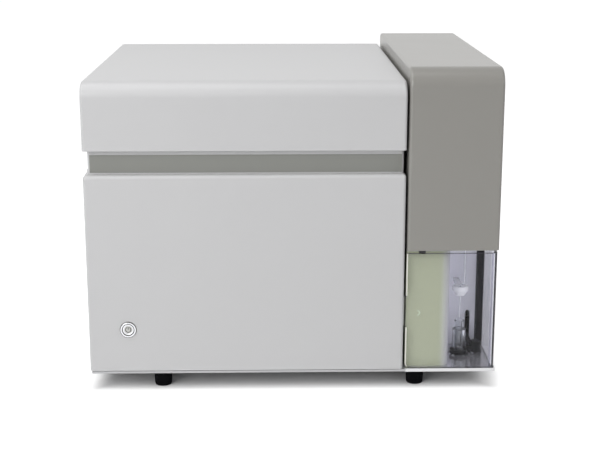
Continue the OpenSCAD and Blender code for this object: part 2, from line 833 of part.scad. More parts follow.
// Square fan frame with its air bore and corner holes
module fan_outline() {
  difference() {
    rrect_centred(fan_w, fan_w, 4);
    circle(fan_bore - 0.5);
    for (sx = [-1, 1], sz = [-1, 1]) translate([sx * fan_hole, sz * fan_hole]) circle(2.2);
  }
}

// Section of one fan blade: a strip swept back along an arc from inside the hub to the tip
module blade_section(tip_r) {
  $fn = 20;
  blade_t = 1.6;
  sweep_r = 1.1 * tip_r;
  intersection() {
    circle(tip_r);
    translate([hub_r - 3, -tip_r]) square([tip_r, tip_r]);
    translate([0, -sweep_r]) difference() {
      circle(sweep_r);
      circle(sweep_r - blade_t);
    }
  }
}

// Fan wheel about a shaft along Y, its blades twisted along the axis
module fan_wheel(x) {
  depth = fan_t - 8;
  color(dark) translate([x, rotor_y, fan_z]) rotate([-90, 0, 0]) difference() {
    union() {
      cylinder(r = hub_r, h = depth);
      for (i = [0:fan_blades - 1]) rotate([0, 0, i * 360 / fan_blades]) translate([0, 0, 0.5])
        linear_extrude(depth - 1, twist = blade_twist, slices = 5) blade_section(fan_bore - 2);
    }
    translate([0, 0, -cut]) cylinder(r = shaft_r + run, h = depth + 2 * cut);
  }
}

module fan_rotor_left() { fan_wheel(fan_x[0]); }
module fan_rotor_right() { fan_wheel(fan_x[1]); }

module fan_guards() {
  wire = 1.8;
  color(steel) for (x = fan_x) across_y(rear_y, wire) translate([x, fan_z]) {
    for (k = [1:4]) difference() {
      circle(k * fan_bore / 4 + wire / 2);
      circle(k * fan_bore / 4 - wire / 2);
    }
    for (a = [45, 135]) rotate(a) square([2 * fan_hole * sqrt(2), wire], center = true);
    for (sx = [-1, 1], sz = [-1, 1]) translate([sx * fan_hole, sz * fan_hole]) circle(3.6);
  }
}

// ---------- fluidics ----------

pump_at = [x1 - 170, yf + 34];
filter_at = [board_x0 + board_size[0] + 50, yf + 150];
valve_at = [board_x0 + board_size[0] + 6, yf + 240];
sheath_z = tray_top + 26;

module sheath_pump() {
  x = pump_at[0];
  y = pump_at[1];
  color([0.25, 0.25, 0.27]) {
    box([x - 2, y - 20, tray_top], [x + 74, y + 20, tray_top + 4]);
    box([x + 4, y - 12, tray_top + 4], [x + 12, y + 12, tray_top + 14]);
    rod_x(y, sheath_z, 18, x, x + 50);
    box([x + 50, y - 20, tray_top + 4], [x + 70, y + 20, sheath_z + 20]);
    rod_x(y, sheath_z, 14, x + 70, x + 75);
    for (s = [-1, 1]) rod_z(x + 60, y + s * 12, 3, sheath_z + 19, sheath_z + 30);
  }
}

module sheath_filter() {
  r = 24;
  color([0.9, 0.9, 0.92]) translate([filter_at[0], filter_at[1], tray_top]) rotate_extrude()
    polygon([[0, 0], [r - 2, 0], [r, 2], [r, 14], [r - 3, 17], [r - 3, 84], [r, 87], [r, 96], [r - 5, 102],
      [6, 104], [3, 108], [3, 120], [0, 120]]);
}

module valve_block() {
  x = valve_at[0];
  y = valve_at[1];
  color([0.85, 0.84, 0.78]) translate([x, y, tray_top]) linear_extrude(26) rrect(84, 34, 3);
  color(dark) for (i = [0:3]) rod_z(x + 12 + i * 20, y + 17, 8, tray_top + 26, tray_top + 60);
  color([0.85, 0.84, 0.78]) for (i = [0:2]) rod_y(x + 14 + i * 18, tray_top + 13, 3, y + 34, y + 40);
}

module fluid_ports() {
  r = fitting_r;
  nut_r = 9;
  color([0.9, 0.9, 0.88]) for (x = fitting_x)
    translate([x, rear_y - sheet - 14, fitting_z]) rotate([-90, 0, 0]) {
    cylinder(r = fitting_thread, h = 14 + sheet);
    cylinder(r = 3, h = 14 + sheet);
    translate([0, 0, 9]) cylinder(r = nut_r, h = 5, $fn = 6);
    translate([0, 0, 14 + sheet]) cylinder(r = nut_r, h = 3, $fn = 6);
    translate([0, 0, 14 + sheet]) cylinder(r = r, h = rear_inset - 1.5);
  }
}

module fluid_tubing() {
  port_y = rear_y - sheet - 14;
  valve_y = valve_at[1] + 40;
  valve_z = tray_top + 13;
  wall_side = [x1 - wall / 2, line_window[0], line_window[1]];
  drop = [(bench_x0 + bench_w + x1 - wall) / 2, yf + 180, 180];
  under_cell = [bench_x0 + cell_u, bench_y0 + cell_v, bench_z];
  probe_top = [line_x, line_y, shelf_z + 12];
  filter_top = [filter_at[0], filter_at[1], tray_top + 120];
  pump_top = [pump_at[0] + 60, pump_at[1] + 12, sheath_z + 30];
  color([0.93, 0.93, 0.90]) {
    for (i = [0:2]) flex_tube([[valve_at[0] + 14 + i * 18, valve_y, valve_z],
      [valve_at[0] + 14 + i * 18, valve_y + 24, valve_z],
      [fitting_x[i], port_y - 24, fitting_z], [fitting_x[i], port_y, fitting_z]], 2.5, [0.2, 0, 1]);
    flex_tube([pump_top, pump_top + [0, 0, 44], filter_top + [0, 0, 36], filter_top], 2.5, [1, 0.6, 0]);
  }
  color([0.95, 0.93, 0.80]) {
    flex_tube([probe_top, probe_top + [0, 0, 30], wall_side + [90, 10, 0], wall_side], 1.2, [0.3, 0.2, 1]);
    flex_tube([wall_side, wall_side - [26, 0, 0], drop + [0, 0, 36], drop], 1.2, [0.3, 1, 0.2]);
    flex_tube([drop, drop - [0, 0, 50], under_cell - [0, 0, 100], under_cell], 1.2, [1, -0.6, 0]);
  }
}

// ---------- sampling tower ----------

back_t = 2.4;                               // bay's back wall
shell_y = yf + bay_d + back_t + joint_line; // front edge of the tower's lower shell
floor_z = tray_top + 2.4;                   // top of the bay floor
ceiling_t = 2.1;
ceiling_z = bay_top - ceiling_t;
shelf_z = 206;
line_x = xt0 + tube_x + 5.2;
line_y = yf + tube_y;
arm_x = xt0 + 97;
arm_w = 5;
screw_y = yf + 124;
frame_block = [36, 26];
carriage_z = tray_top + 10;
arm_z = floor_z + 3.6;
arm_h = 9;
clamp_w = 3;
pivot_at = [xt0 + 110.9, yf + pivot_y];

module tower_cover() {
  d = yb - yf;
  color(warm_paint) translate([xt0, yf, bay_top]) difference() {
    hood_shell(tower_w, d, tower_h - bay_top, tower_fillet, rear_fillet, edge_r);
    translate([0, d - wall - cut, 0]) across_y(0, wall + 2 * cut)
      for (row = [0, 1]) translate([tower_w / 2, 90 + row * 70]) slot_row(7, 12, 4, 50);
    rod_x(line_window[0] - yf, line_window[1] - bay_top, 6, -cut, wall + cut);
  }
}

module tower_lower_shell() {
  w = tower_w;
  d = yb - shell_y;
  color(warm_paint) translate([xt0, shell_y, panel_z]) linear_extrude(bay_top - panel_z) difference() {
    translate([0, -edge_r]) rrect(w, d + edge_r, edge_r);
    translate([wall, -3 * edge_r]) rrect(w - 2 * wall, d + 3 * edge_r - wall, 1);
    translate([-cut, -2 * edge_r]) square([w + 2 * cut, 2 * edge_r]);
  }
}

module tower_frame() {
  x = xt0 + wall + seat + 2;
  y1 = yb - 24;
  color(steel) {
    across_x(x, sheet) difference() {
      translate([shell_y + 6, tray_top]) square([y1 - shell_y - 6, tower_h - tray_top - 30]);
      translate(line_window) circle(16);
      for (i = [0:2]) translate([yf + 210 + i * 80, 110]) rrect_centred(50, 90, 10);
    }
    difference() {
      box([x, yf + 24, shelf_z - sheet], [xt1 - wall - 1, yf + 330, shelf_z]);
      rod_z(line_x, line_y, 3, shelf_z - 2 * sheet, shelf_z + cut);
      box([arm_x - 21, screw_y - 21, shelf_z - 2 * sheet], [xt1, screw_y + 21, shelf_z + cut]);
    }
  }
}

// Housing beside the tube, seen from above: flange, front wall, round corner and side wall
module housing_plan(xa, xb) {
  t = 2;
  y0 = yf + housing_set;
  yc = y0 + housing_r;
  y1 = yf + bay_d;
  translate([xa, y0]) square([t, y1 - y0]);
  translate([xa, y0]) square([xb - housing_r - xa, t]);
  translate([xb - t, yc]) square([t, y1 - yc]);
  intersection() {
    translate([xb - housing_r, yc]) difference() {
      circle(housing_r);
      circle(housing_r - t);
    }
    translate([xb - housing_r, y0]) square(housing_r);
  }
}

module bay_liner() {
  xa = xt0 + joint_line;
  xb = xt1 - wall - seat;
  slot_w = arm_w + 2;
  color([0.72, 0.73, 0.72]) difference() {
    union() {
      box([xa, yf + bay_d, floor_z], [xb, yf + bay_d + back_t, ceiling_z]);
      box([xa, yf + 8, ceiling_z], [xb, yf + bay_d + back_t, bay_top]);
      translate([0, 0, floor_z]) linear_extrude(ceiling_z - floor_z)
        housing_plan(xa, xt0 + tube_x - holder_d / 2 - clamp_w - housing_gap);
    }
    across_y(yf + bay_d - cut, back_t + 2 * cut) {
      z0 = arm_z - 2.5;
      z1 = arm_z + arm_h + lift_travel + 2.5;
      translate([arm_x, (z0 + z1) / 2]) slot(slot_w, z1 - z0);
    }
    rod_z(line_x, line_y, 2, ceiling_z - cut, bay_top + cut);
    rod_z(pivot_at[0], pivot_at[1], pivot_pin_d / 2 + run, ceiling_z - cut, bay_top + cut);
  }
}

drip_r = 15;

module bay_floor() {
  lip = 1.2;
  color([0.70, 0.70, 0.71]) difference() {
    union() {
      box([xt0 + joint_line, yf - lip, foot_h + 0.6], [xt1 - seat, shell_y - joint_line, floor_z]);
      rod_z(pivot_at[0], pivot_at[1], bar_w / 2 - 0.5, floor_z - cut, floor_z + 1.2);
    }
    box([xt0 - cut, yf + tray_edge, foot_h - cut], [xt1 - tray_edge, shell_y + cut, tray_top]);
    rod_z(xt0 + tube_x, yf + tube_y, drip_r, floor_z - 1, floor_z + cut);
    rod_z(pivot_at[0], pivot_at[1], pivot_pin_d / 2 + run, tray_top - cut, floor_z + 3);
  }
}

module door_catch() {
  xa = xt0 + 15.7;
  color(dark) difference() {
    box([xa, yf + 1, bay_top - 3.2], [xa + 8.8, yf + 8, bay_top - 0.3]);
    rod_z(xa + 4.4, yf + 4, 1.5, bay_top - 4, bay_top - 2);
  }
}

// ---------- clear door ----------

door_x0 = xt0 - 0.2;
door_x1 = pivot_at[0] + bar_w / 2 + door_t;
door_z0 = floor_z + door_gap;
door_z1 = bay_top - door_top_gap;

module door_plan() {
  bevel = 1.5;
  polygon([[door_x0 + bevel, yf], [door_x1 - door_corner, yf], [door_x1 - door_corner, yf + door_t],
    [door_x0, yf + door_t], [door_x0, yf + bevel]]);
  translate([door_x1 - door_t, yf + door_corner]) square([door_t, pivot_y + bar_w / 2 - door_corner]);
  intersection() {
    translate([door_x1 - door_corner, yf + door_corner]) difference() {
      circle(door_corner);
      circle(door_corner - door_t);
    }
    translate([door_x1 - door_corner, yf]) square(door_corner);
  }
}

module sample_door() {
  corner = 6;
  tab_r = 2.4;
  color(clear) difference() {
    union() {
      translate([0, 0, door_z0]) linear_extrude(door_z1 - door_z0) door_plan();
      across_y(yf, door_t) translate([door_x0 - tab_out, tab_z - tab_h / 2])
        rrect(tab_out + 8, tab_h, tab_r);
    }
    translate([door_x0, yf - cut, door_z0]) difference() {
      translate([-cut, 0, -cut]) cube([corner + cut, door_t + 2 * cut, corner + cut]);
      rod_y(corner, corner, corner, -cut, door_t + 3 * cut);
    }
  }
}

module door_pivot_bar() {
  r = pivot_pin_d / 2;
  h0 = floor_z + 1.8;
  h1 = ceiling_z - 0.6;
  color(dark) translate([pivot_at[0], pivot_at[1], 0]) {
    translate([0, 0, h0]) linear_extrude(h1 - h0) rrect_centred(bar_w, bar_w, 2);
    rod_z(0, 0, r, tray_top + seat, h0);
    rod_z(0, 0, r, h1, bay_top - seat);
  }
}

// ---------- sample lift ----------

rod_pitch = 13;
bottom_h = 9;
top_z = 152;
top_h = 8;
journal_r = 3;
motor_shaft_r = 2.5;
motor_w = 36;
motor_h = 38;

// Block of the lift's frame between z and z + h, with a hole for the screw's journal
module lift_block(z, h, bore) {
  translate([arm_x, screw_y, z]) linear_extrude(h) difference() {
    rrect_centred(frame_block[0], frame_block[1], 3);
    circle(bore + run);
  }
}

module lift_frame() {
  r = rod_d / 2;
  back = screw_y + frame_block[1] / 2;
  color(steel) {
    lift_block(tray_top, bottom_h, journal_r);
    lift_block(top_z, top_h, motor_shaft_r);
    for (s = [-1, 1]) rod_z(arm_x + s * rod_pitch, screw_y, r, tray_top + 1, top_z + 1);
    box([arm_x - frame_block[0] / 2, back, tray_top],
      [arm_x + frame_block[0] / 2, back + 3, top_z + top_h]);
  }
}

module lift_motor() {
  z = top_z + top_h;
  color(dark) translate([arm_x, screw_y, z]) difference() {
    union() {
      linear_extrude(motor_h) difference() {
        rrect_centred(motor_w, motor_w, 4);
        circle(motor_shaft_r + run);
      }
      translate([0, 0, motor_h]) linear_extrude(4) rrect_centred(motor_w - 8, motor_w - 8, 4);
    }
    for (s = [-1, 1]) translate([s * motor_w / 2, 0, 8]) rotate([90, 0, 0])
      cylinder(r = 1.5, h = motor_w - 10, center = true);
  }
}

module lift_screw() {
  r = screw_d / 2;
  z1 = tray_top + bottom_h;
  color(steel) {
    rod_z(arm_x, screw_y, journal_r, tray_top + seat, z1 + seat);
    rod_z(arm_x, screw_y, r, z1 + seat, top_z - seat);
    rod_z(arm_x, screw_y, motor_shaft_r, top_z - seat, top_z + top_h + 24);
  }
}

carriage_h = 22;
clamp_h = 5;
clamp_drop = 2;                             // how far the clamp ring sits under the arm
boss_r = 7;
boss_h = 15;

module lift_carriage() {
  slack = 0.08;
  x = xt0 + tube_x;
  y = yf + tube_y;
  boss_x = arm_x + 6;
  block_y = screw_y - frame_block[1] / 2 - 1;
  clamp_z = arm_z - clamp_drop;
  color([0.30, 0.31, 0.33]) difference() {
    union() {
      translate([arm_x, screw_y, carriage_z]) linear_extrude(carriage_h)
        rrect_centred(frame_block[0], frame_block[1] - 6, 2);
      box([arm_x - arm_w / 2, y, arm_z], [arm_x + arm_w / 2, block_y, arm_z + arm_h]);
      box([arm_x - arm_w / 2, y, carriage_z], [arm_x + arm_w / 2, screw_y, arm_z + arm_h]);
      box([x, y - 3, arm_z], [boss_x, y + 3, arm_z + arm_h - 3]);
      rod_z(boss_x, y, boss_r, arm_z, arm_z + boss_h);
      rod_z(x, y, holder_d / 2 + clamp_w, clamp_z, clamp_z + clamp_h);
    }
    rod_z(x, y, holder_d / 2 + run, clamp_z - cut, arm_z + arm_h + cut);
    rod_z(arm_x, screw_y, screw_d / 2 + slack, carriage_z - cut, carriage_z + carriage_h + cut);
    for (s = [-1, 1]) rod_z(arm_x + s * rod_pitch, screw_y, rod_d / 2 + slack,
      carriage_z - cut, carriage_z + carriage_h + cut);
  }
}

holder_z = floor_z + 0.6;
holder_floor = 2;
tube_gap = 0.2;

module tube_holder() {
  r = holder_d / 2;
  bore = tube_d / 2 + tube_gap;
  color(clear) translate([xt0 + tube_x, yf + tube_y, holder_z]) rotate_extrude()
    polygon([[0, 0], [r - 1, 0], [r, 1], [r, holder_h - 1], [r - 1, holder_h], [bore + 1, holder_h],
      [bore, holder_h - 1], [bore, holder_floor], [0, holder_floor]]);
}

// Round-bottomed tube as a revolved wall
module sample_tube() {
  r = tube_d / 2;
  z = holder_z + holder_floor + tube_gap;
  color([0.92, 0.93, 0.95, 0.4]) translate([xt0 + tube_x, yf + tube_y, z + r]) {
    rotate_extrude() {
      intersection() {
        difference() {
          circle(r);
          circle(r - tube_wall);
        }
        translate([0, -r]) square(r);
      }
      translate([r - tube_wall, 0]) square([tube_wall, tube_l - r]);
      translate([r - tube_wall, tube_l - r - 2]) square([tube_wall + 0.8, 2]);
    }
  }
}

needle_r = 0.8;
needle_tip = holder_z + holder_floor + tube_l + 4;
wash_h = 7;
cone_h = 6;

module sample_probe() {
  x = xt0 + tube_x;
  z = wash_z + wash_h;
  color(steel) {
    rod_z(line_x, line_y, needle_r, z + 0.5, shelf_z + 12);
    rod_x(line_y, z + 0.5 + needle_r, needle_r, x, line_x);
    rod_z(x, line_y, needle_r, needle_tip, z + 0.5 + needle_r);
  }
}

module wash_station() {
  r = wash_d / 2;
  x = xt0 + tube_x;
  y = yf + tube_y;
  bore = needle_r + seat;
  color(clear) difference() {
    union() {
      translate([x, y, wash_z - cone_h]) rotate_extrude()
        polygon([[0, 0], [r * 0.62, 0], [r * 0.8, cone_h], [r, cone_h], [r, cone_h + wash_h - 1],
          [r - 1, cone_h + wash_h], [0, cone_h + wash_h]]);
      box([x - 4, y + r - 2, wash_z + 1], [x + 4, yf + bay_d, wash_z + wash_h - 1]);
    }
    rod_z(x, y, bore, wash_z - cone_h - cut, wash_z + wash_h + cut);
    rod_z(x, y, r * 0.5, wash_z + 1, wash_z + wash_h - 2);
  }
}

// ---------- sample pump ----------

pump_x = xt0 + 48;
pump_y = yf + 40;
pump_w = 60;
pump_z = shelf_z + pump_w / 2;
pump_bore = 23;
pump_shaft_r = 2.5;

module sample_pump() {
  depth = 22;
  color([0.20, 0.21, 0.24]) {
    difference() {
      across_y(pump_y, depth) translate([pump_x, pump_z]) rrect_centred(pump_w, pump_w, 5);
      rod_y(pump_x, pump_z, pump_bore, pump_y - cut, pump_y + depth - 4);
    }
    rod_y(pump_x, pump_z, 18, pump_y + depth, pump_y + depth + 50);
    rod_y(pump_x, pump_z, pump_shaft_r, pump_y + 3, pump_y + depth);
  }
}

module pump_rotor() {
  roller_r = 5;
  orbit = pump_bore - roller_r - 2.5;
  y0 = pump_y + 1;
  y1 = pump_y + 17;
  color([0.85, 0.85, 0.83]) difference() {
    union() {
      rod_y(pump_x, pump_z, 8, y0, y1);
      rod_y(pump_x, pump_z, orbit + 2, y0, y0 + 2);
      rod_y(pump_x, pump_z, orbit + 2, y1 - 2, y1);
      for (a = [0:90:270])
        rod_y(pump_x + orbit * cos(a), pump_z + orbit * sin(a), roller_r, y0 + 2, y1 - 2);
    }
    rod_y(pump_x, pump_z, pump_shaft_r + run, y0 + 2, y1 + cut);
  }
}

base_tray();
feet();
front_panel();
left_panel();
right_panel();
rear_panel();
belt();
belt_inlay();
top_lid();
lid_bumpers();
lid_hinge_brackets();
lid_hinge_leaves();
lid_hinge_pins();
button_bezel();
power_button();
button_switch();
bench_frame();
bench_isolators();
optical_bench();
violet_laser();
blue_laser();
red_laser();
beam_mirrors();
lens_barrels();
flow_cell_block();
flow_cell();
detector_modules();
optical_fibres();
main_board();
power_supply();
power_inlet();
data_ports();
fan_frames();
fan_rotor_left();
fan_rotor_right();
fan_guards();
sheath_pump();
sheath_filter();
valve_block();
fluid_ports();
fluid_tubing();
tower_cover();
tower_lower_shell();
tower_frame();
bay_liner();
bay_floor();
door_catch();
sample_door();
door_pivot_bar();
lift_frame();
lift_motor();
lift_screw();
lift_carriage();
tube_holder();
sample_tube();
sample_probe();
wash_station();
sample_pump();
pump_rotor();
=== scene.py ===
"""Bench-top flow cytometer: finishes, modelled shells and bench light around the fixed frame."""

import json
import logging
import math
from collections.abc import Callable, Iterator
from contextlib import contextmanager
from dataclasses import dataclass
from enum import Enum
from typing import Self

import bmesh
import bpy
from mathutils import Matrix, Vector


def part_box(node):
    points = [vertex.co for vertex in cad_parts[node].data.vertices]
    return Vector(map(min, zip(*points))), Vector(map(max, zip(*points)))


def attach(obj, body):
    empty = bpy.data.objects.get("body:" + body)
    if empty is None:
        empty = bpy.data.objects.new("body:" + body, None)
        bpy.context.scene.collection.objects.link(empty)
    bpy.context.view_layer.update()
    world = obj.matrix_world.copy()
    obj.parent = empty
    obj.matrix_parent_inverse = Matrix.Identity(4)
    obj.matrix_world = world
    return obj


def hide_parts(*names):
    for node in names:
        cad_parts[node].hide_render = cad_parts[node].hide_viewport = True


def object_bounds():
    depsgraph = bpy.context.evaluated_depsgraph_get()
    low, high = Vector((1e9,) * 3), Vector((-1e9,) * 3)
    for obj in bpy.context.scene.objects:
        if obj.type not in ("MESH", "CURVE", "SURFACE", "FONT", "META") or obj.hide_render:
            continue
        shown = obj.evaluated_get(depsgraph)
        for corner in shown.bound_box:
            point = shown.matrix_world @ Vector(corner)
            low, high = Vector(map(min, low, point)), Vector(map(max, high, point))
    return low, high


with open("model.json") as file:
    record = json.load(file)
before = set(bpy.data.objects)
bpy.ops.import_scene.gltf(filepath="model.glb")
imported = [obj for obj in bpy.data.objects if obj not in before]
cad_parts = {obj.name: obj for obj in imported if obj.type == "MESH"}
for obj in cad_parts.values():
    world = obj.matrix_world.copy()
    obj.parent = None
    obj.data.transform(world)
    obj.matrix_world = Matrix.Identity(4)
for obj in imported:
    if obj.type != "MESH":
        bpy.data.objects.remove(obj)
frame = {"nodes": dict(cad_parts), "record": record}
cad_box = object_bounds()

LOG = logging.getLogger("flow_cytometer")
MM = 0.001
NEAR = 1e-5
SLOTS = {part["node"]: part["material_slot"] for part in frame["record"]["subparts"]}
BODIES = {node: body for body, nodes in frame["record"]["behaviour"]["bodies"].items() for node in nodes}

Rgb = tuple[float, float, float]
Point = tuple[float, float, float]
EdgeTest = Callable[[Vector, Vector], bool]
FaceTest = Callable[[Vector, Vector], bool]
Feed = float | Rgb | bpy.types.NodeSocket

ONES = Vector((1.0, 1.0, 1.0))
WHITE: Rgb = (1.0, 1.0, 1.0)
GREY: Rgb = (0.5, 0.5, 0.5)
# Near-white that outer edges are mixed towards, a painted highlight.
EDGE_HIGHLIGHT_WHITE: Rgb = (0.95, 0.95, 0.95)
DUST: Rgb = (0.62, 0.60, 0.57)
STRAIGHT = 0.99
SMALL_ROUND, MEDIUM_ROUND, LARGE_ROUND = 6, 8, 16


def srgb(red: int, green: int, blue: int) -> Rgb:
    """Turns an 8-bit display colour into linear light.

    Args:
        red: Red, 0 to 255.
        green: Green, 0 to 255.
        blue: Blue, 0 to 255.

    Returns:
        The linear colour, each part 0 to 1.
    """
    def part(value: int) -> float:
        """Linear light of one part."""
        share = value / 255
        return share / 12.92 if share <= 0.04045 else ((share + 0.055) / 1.055) ** 2.4

    return part(red), part(green), part(blue)


def shaded(color: Rgb, share: float) -> Rgb:
    """A colour made darker or lighter by a share."""
    return tuple(share * part for part in color)


class Axis(Enum):
    """Direction that a turned piece or a brushed grain runs along."""

    X = 0
    Y = 1
    Z = 2


class Pattern(Enum):
    """How a finish looks close up."""

    PAINTED = "fine sprayed texture"
    MOULDED = "spark-eroded mould grain"
    BRUSHED = "long brush lines"
    MACHINED = "short tool marks"
    CLEAR = "polished and see-through"
    # LINER: warm on the left, light and cool on the right and along the top, the cool tone darkened towards
    # the front as painted shade.
    LINER = "paint that shades from warm to cool across the bay"
    BOARD = "solder mask with tracks"
    FROSTED = "matt and half see-through"


STRETCH = {Pattern.BRUSHED: 40, Pattern.MACHINED: 6}


# ---------- node graphs ----------


class Graph:
    """A node tree being wired."""

    def __init__(self, tree: bpy.types.NodeTree) -> None:
        """Takes a node tree in hand."""
        self.tree = tree

    def feed(self, node: bpy.types.Node, inputs: dict[str | int, Feed]) -> None:
        """Sets or links a node's inputs.

        Args:
            node: The node.
            inputs: What each input takes: a value, a colour or another node's output.
        """
        for label, value in inputs.items():
            socket = node.inputs[label]
            if isinstance(value, bpy.types.NodeSocket):
                self.tree.links.new(value, socket)
            else:
                socket.default_value = (*value, 1.0) if socket.type == "RGBA" else value

    def node(self, kind: str, inputs: dict[str | int, Feed] | None = None, **settings: str) -> bpy.types.Node:
        """Adds a shader node.

        Args:
            kind: Its type, without the common prefix.
            inputs: What its inputs take.
            settings: Its properties.

        Returns:
            The node.
        """
        node = self.tree.nodes.new(f"ShaderNode{kind}")
        for label, value in settings.items():
            setattr(node, label, value)
        self.feed(node, inputs or {})
        return node

    def effect(self, group: bpy.types.NodeTree, inputs: dict[str | int, Feed]) -> bpy.types.NodeOutputs:
        """Places a shared effect.

        Args:
            group: The effect.
            inputs: What its inputs take.

        Returns:
            The outputs of the group node.
        """
        node = self.node("Group")
        node.node_tree = group
        self.feed(node, inputs)
        return node.outputs

    def place(self) -> bpy.types.NodeSocket:
        """Object coordinates."""
        return self.node("TexCoord").outputs["Object"]

    def noise(self, scale: Feed, detail: float, roughness: float = 0.5) -> bpy.types.NodeSocket:
        """Cloudy noise in object coordinates."""
        return self.node("TexNoise", {"Vector": self.place(), "Scale": scale, "Detail": detail,
                                      "Roughness": roughness}).outputs["Fac"]

    def calculate(self, operation: str, *values: Feed) -> bpy.types.NodeSocket:
        """The result of a calculation."""
        return self.node("Math", dict(enumerate(values)), operation=operation).outputs[0]

    def ramp(self, value: Feed, start: float, end: float, low: float = 0.0, high: float = 1.0,
             kind: str = "LINEAR") -> bpy.types.NodeSocket:
        """Runs from low to high while a value goes from start to end, and holds at both ends."""
        return self.node("MapRange", {"Value": value, "From Min": start, "From Max": end, "To Min": low,
                                      "To Max": high}, interpolation_type=kind).outputs["Result"]

    def mix(self, share: Feed, first: Feed, second: Feed, kind: str = "RGBA") -> bpy.types.NodeSocket:
        """Two colours or values mixed."""
        return self.node("Mix", {"Factor": share, "A": first, "B": second}, data_type=kind).outputs["Result"]


# ---------- finishes ----------


class EffectGroups:
    """Shader node groups that several finishes share, each built once."""

    def __init__(self) -> None:
        """Builds every group."""
        self.grain = self._grain()
        self.mottle = self._mottle()
        self.streaks = self._streaks()
        # Dust on upward faces and a painted highlight on outer edges.
        self.dust_and_highlight = self._dust_and_highlight()

    @staticmethod
    def _new(name: str, inputs: dict[str, float | Rgb],
             *outputs: str) -> tuple[Graph, bpy.types.NodeOutputs, bpy.types.Node]:
        """Starts a group with its sockets, of which the ones called Color carry a colour.

        Args:
            name: The group's name.
            inputs: Each input with its usual value.
            outputs: Each output.

        Returns:
            The group's graph, the sockets that bring its inputs, and the node that takes its outputs.
        """
        def kind(label: str) -> str:
            """Type of a socket."""
            return "NodeSocketColor" if label == "Color" else "NodeSocketFloat"

        group = bpy.data.node_groups.new(name, "ShaderNodeTree")
        for label, value in inputs.items():
            socket = group.interface.new_socket(label, in_out="INPUT", socket_type=kind(label))
            socket.default_value = (*value, 1.0) if isinstance(value, tuple) else value
        for label in outputs:
            group.interface.new_socket(label, in_out="OUTPUT", socket_type=kind(label))
        return Graph(group), group.nodes.new("NodeGroupInput").outputs, group.nodes.new("NodeGroupOutput")

    def _grain(self) -> bpy.types.NodeTree:
        """Fine pebbled texture of sprayed paint or a spark-eroded mould."""
        graph, ends, out = self._new("surface_grain", {"Scale": 900.0, "Roundness": 0.5}, "Height")
        fine = graph.noise(ends["Scale"], 3.0)
        cells = graph.node("TexVoronoi", {"Vector": graph.place(), "Scale": ends["Scale"]},
                           feature="SMOOTH_F1")
        graph.feed(out, {"Height": graph.mix(ends["Roundness"], fine, cells.outputs["Distance"], "FLOAT")})
        return graph.tree

    def _mottle(self) -> bpy.types.NodeTree:
        """Slow drift of colour and gloss over a surface."""
        graph, ends, out = self._new("colour_drift", {
            "Color": GREY, "Spread": 0.04, "Scale": 9.0, "Gloss": 0.5, "Gloss Spread": 0.06,
        }, "Color", "Roughness")
        centred = graph.calculate("SUBTRACT", graph.noise(ends["Scale"], 5.0, 0.6), 0.5)
        brightness = graph.calculate("ADD", graph.calculate("MULTIPLY", centred, ends["Spread"]), 1.0)
        tint = graph.node("VectorMath", {0: ends["Color"], "Scale": brightness}, operation="SCALE")
        gloss = graph.calculate("MULTIPLY_ADD", centred, ends["Gloss Spread"], ends["Gloss"])
        graph.feed(out, {"Color": tint.outputs[0], "Roughness": gloss})
        return graph.tree

    def _streaks(self) -> bpy.types.NodeTree:
        """Brush lines or tool marks, finest across the axes with the largest values."""
        graph, ends, out = self._new("brush_streaks", {"Along X": 30.0, "Along Y": 900.0, "Along Z": 900.0},
                                     "Height")
        scales = graph.node("CombineXYZ", {axis.value: ends[f"Along {axis.name}"] for axis in Axis})
        stretched = graph.node("VectorMath", {0: graph.place(), 1: scales.outputs[0]}, operation="MULTIPLY")
        lines = graph.node("TexNoise", {"Vector": stretched.outputs[0], "Scale": 1.0, "Detail": 4.0})
        graph.feed(out, {"Height": lines.outputs["Fac"]})
        return graph.tree

    def _dust_and_highlight(self) -> bpy.types.NodeTree:
        """Faint dust on upward faces, and a painted highlight that lightens outer edges."""
        graph, ends, out = self._new("dust_and_edge_highlight", {"Color": GREY, "Edge Highlight": 0.05, "Dust": 0.03},
                                     "Color")
        shape = graph.node("NewGeometry").outputs
        sharp_from, sharp_to, upward_from = 0.52, 0.62, 0.6
        edge = graph.ramp(shape["Pointiness"], sharp_from, sharp_to)
        upward = graph.ramp(graph.node("SeparateXYZ", {0: shape["Normal"]}).outputs["Z"], upward_from, 1.0)
        settled = graph.calculate("MULTIPLY", upward, graph.noise(60.0, 6.0))
        # Painted highlight: outer edges are mixed towards near-white.
        edge_lit = graph.mix(graph.calculate("MULTIPLY", edge, ends["Edge Highlight"]), ends["Color"], EDGE_HIGHLIGHT_WHITE)
        film = graph.calculate("MULTIPLY", settled, ends["Dust"])
        graph.feed(out, {"Color": graph.mix(film, edge_lit, DUST)})
        return graph.tree


@dataclass(frozen=True)
class Finish:
    """One finish of the instrument.

    Attributes:
        slot: The record's material slot, and the material's name.
        color: Linear base colour.
        pattern: How it looks close up.
        roughness: Gloss, 0 for a mirror.
        metallic: 1 for bare metal.
        scale: Features of the close-up pattern in a metre.
        depth: Height of those features, in metres.
        drift: Share by which colour and gloss drift over the surface.
        edge_highlight: How far the outer edges are lightened, as a painted highlight.
        dust: How much dust lies on upward faces.
        along: Axis of the brush lines.
        ior: Refractive index of a clear finish.
        second: Second colour, which the bay's finish blends in on its right and along its top.
        clear: How see-through a frosted finish is.
        shine: Specular level, 0.5 for common paint and plastic.
        coat: Weight of a clear coat.
    """

    slot: str
    color: Rgb
    pattern: Pattern = Pattern.MOULDED
    roughness: float = 0.5
    metallic: float = 0.0
    scale: float = 900.0
    depth: float = 0.00003
    drift: float = 0.03
    # Painted highlight on outer edges.
    edge_highlight: float = 0.03
    dust: float = 0.02
    along: Axis = Axis.X
    ior: float = 1.49
    second: Rgb = GREY
    clear: float = 0.0
    shine: float = 0.5
    coat: float = 0.0


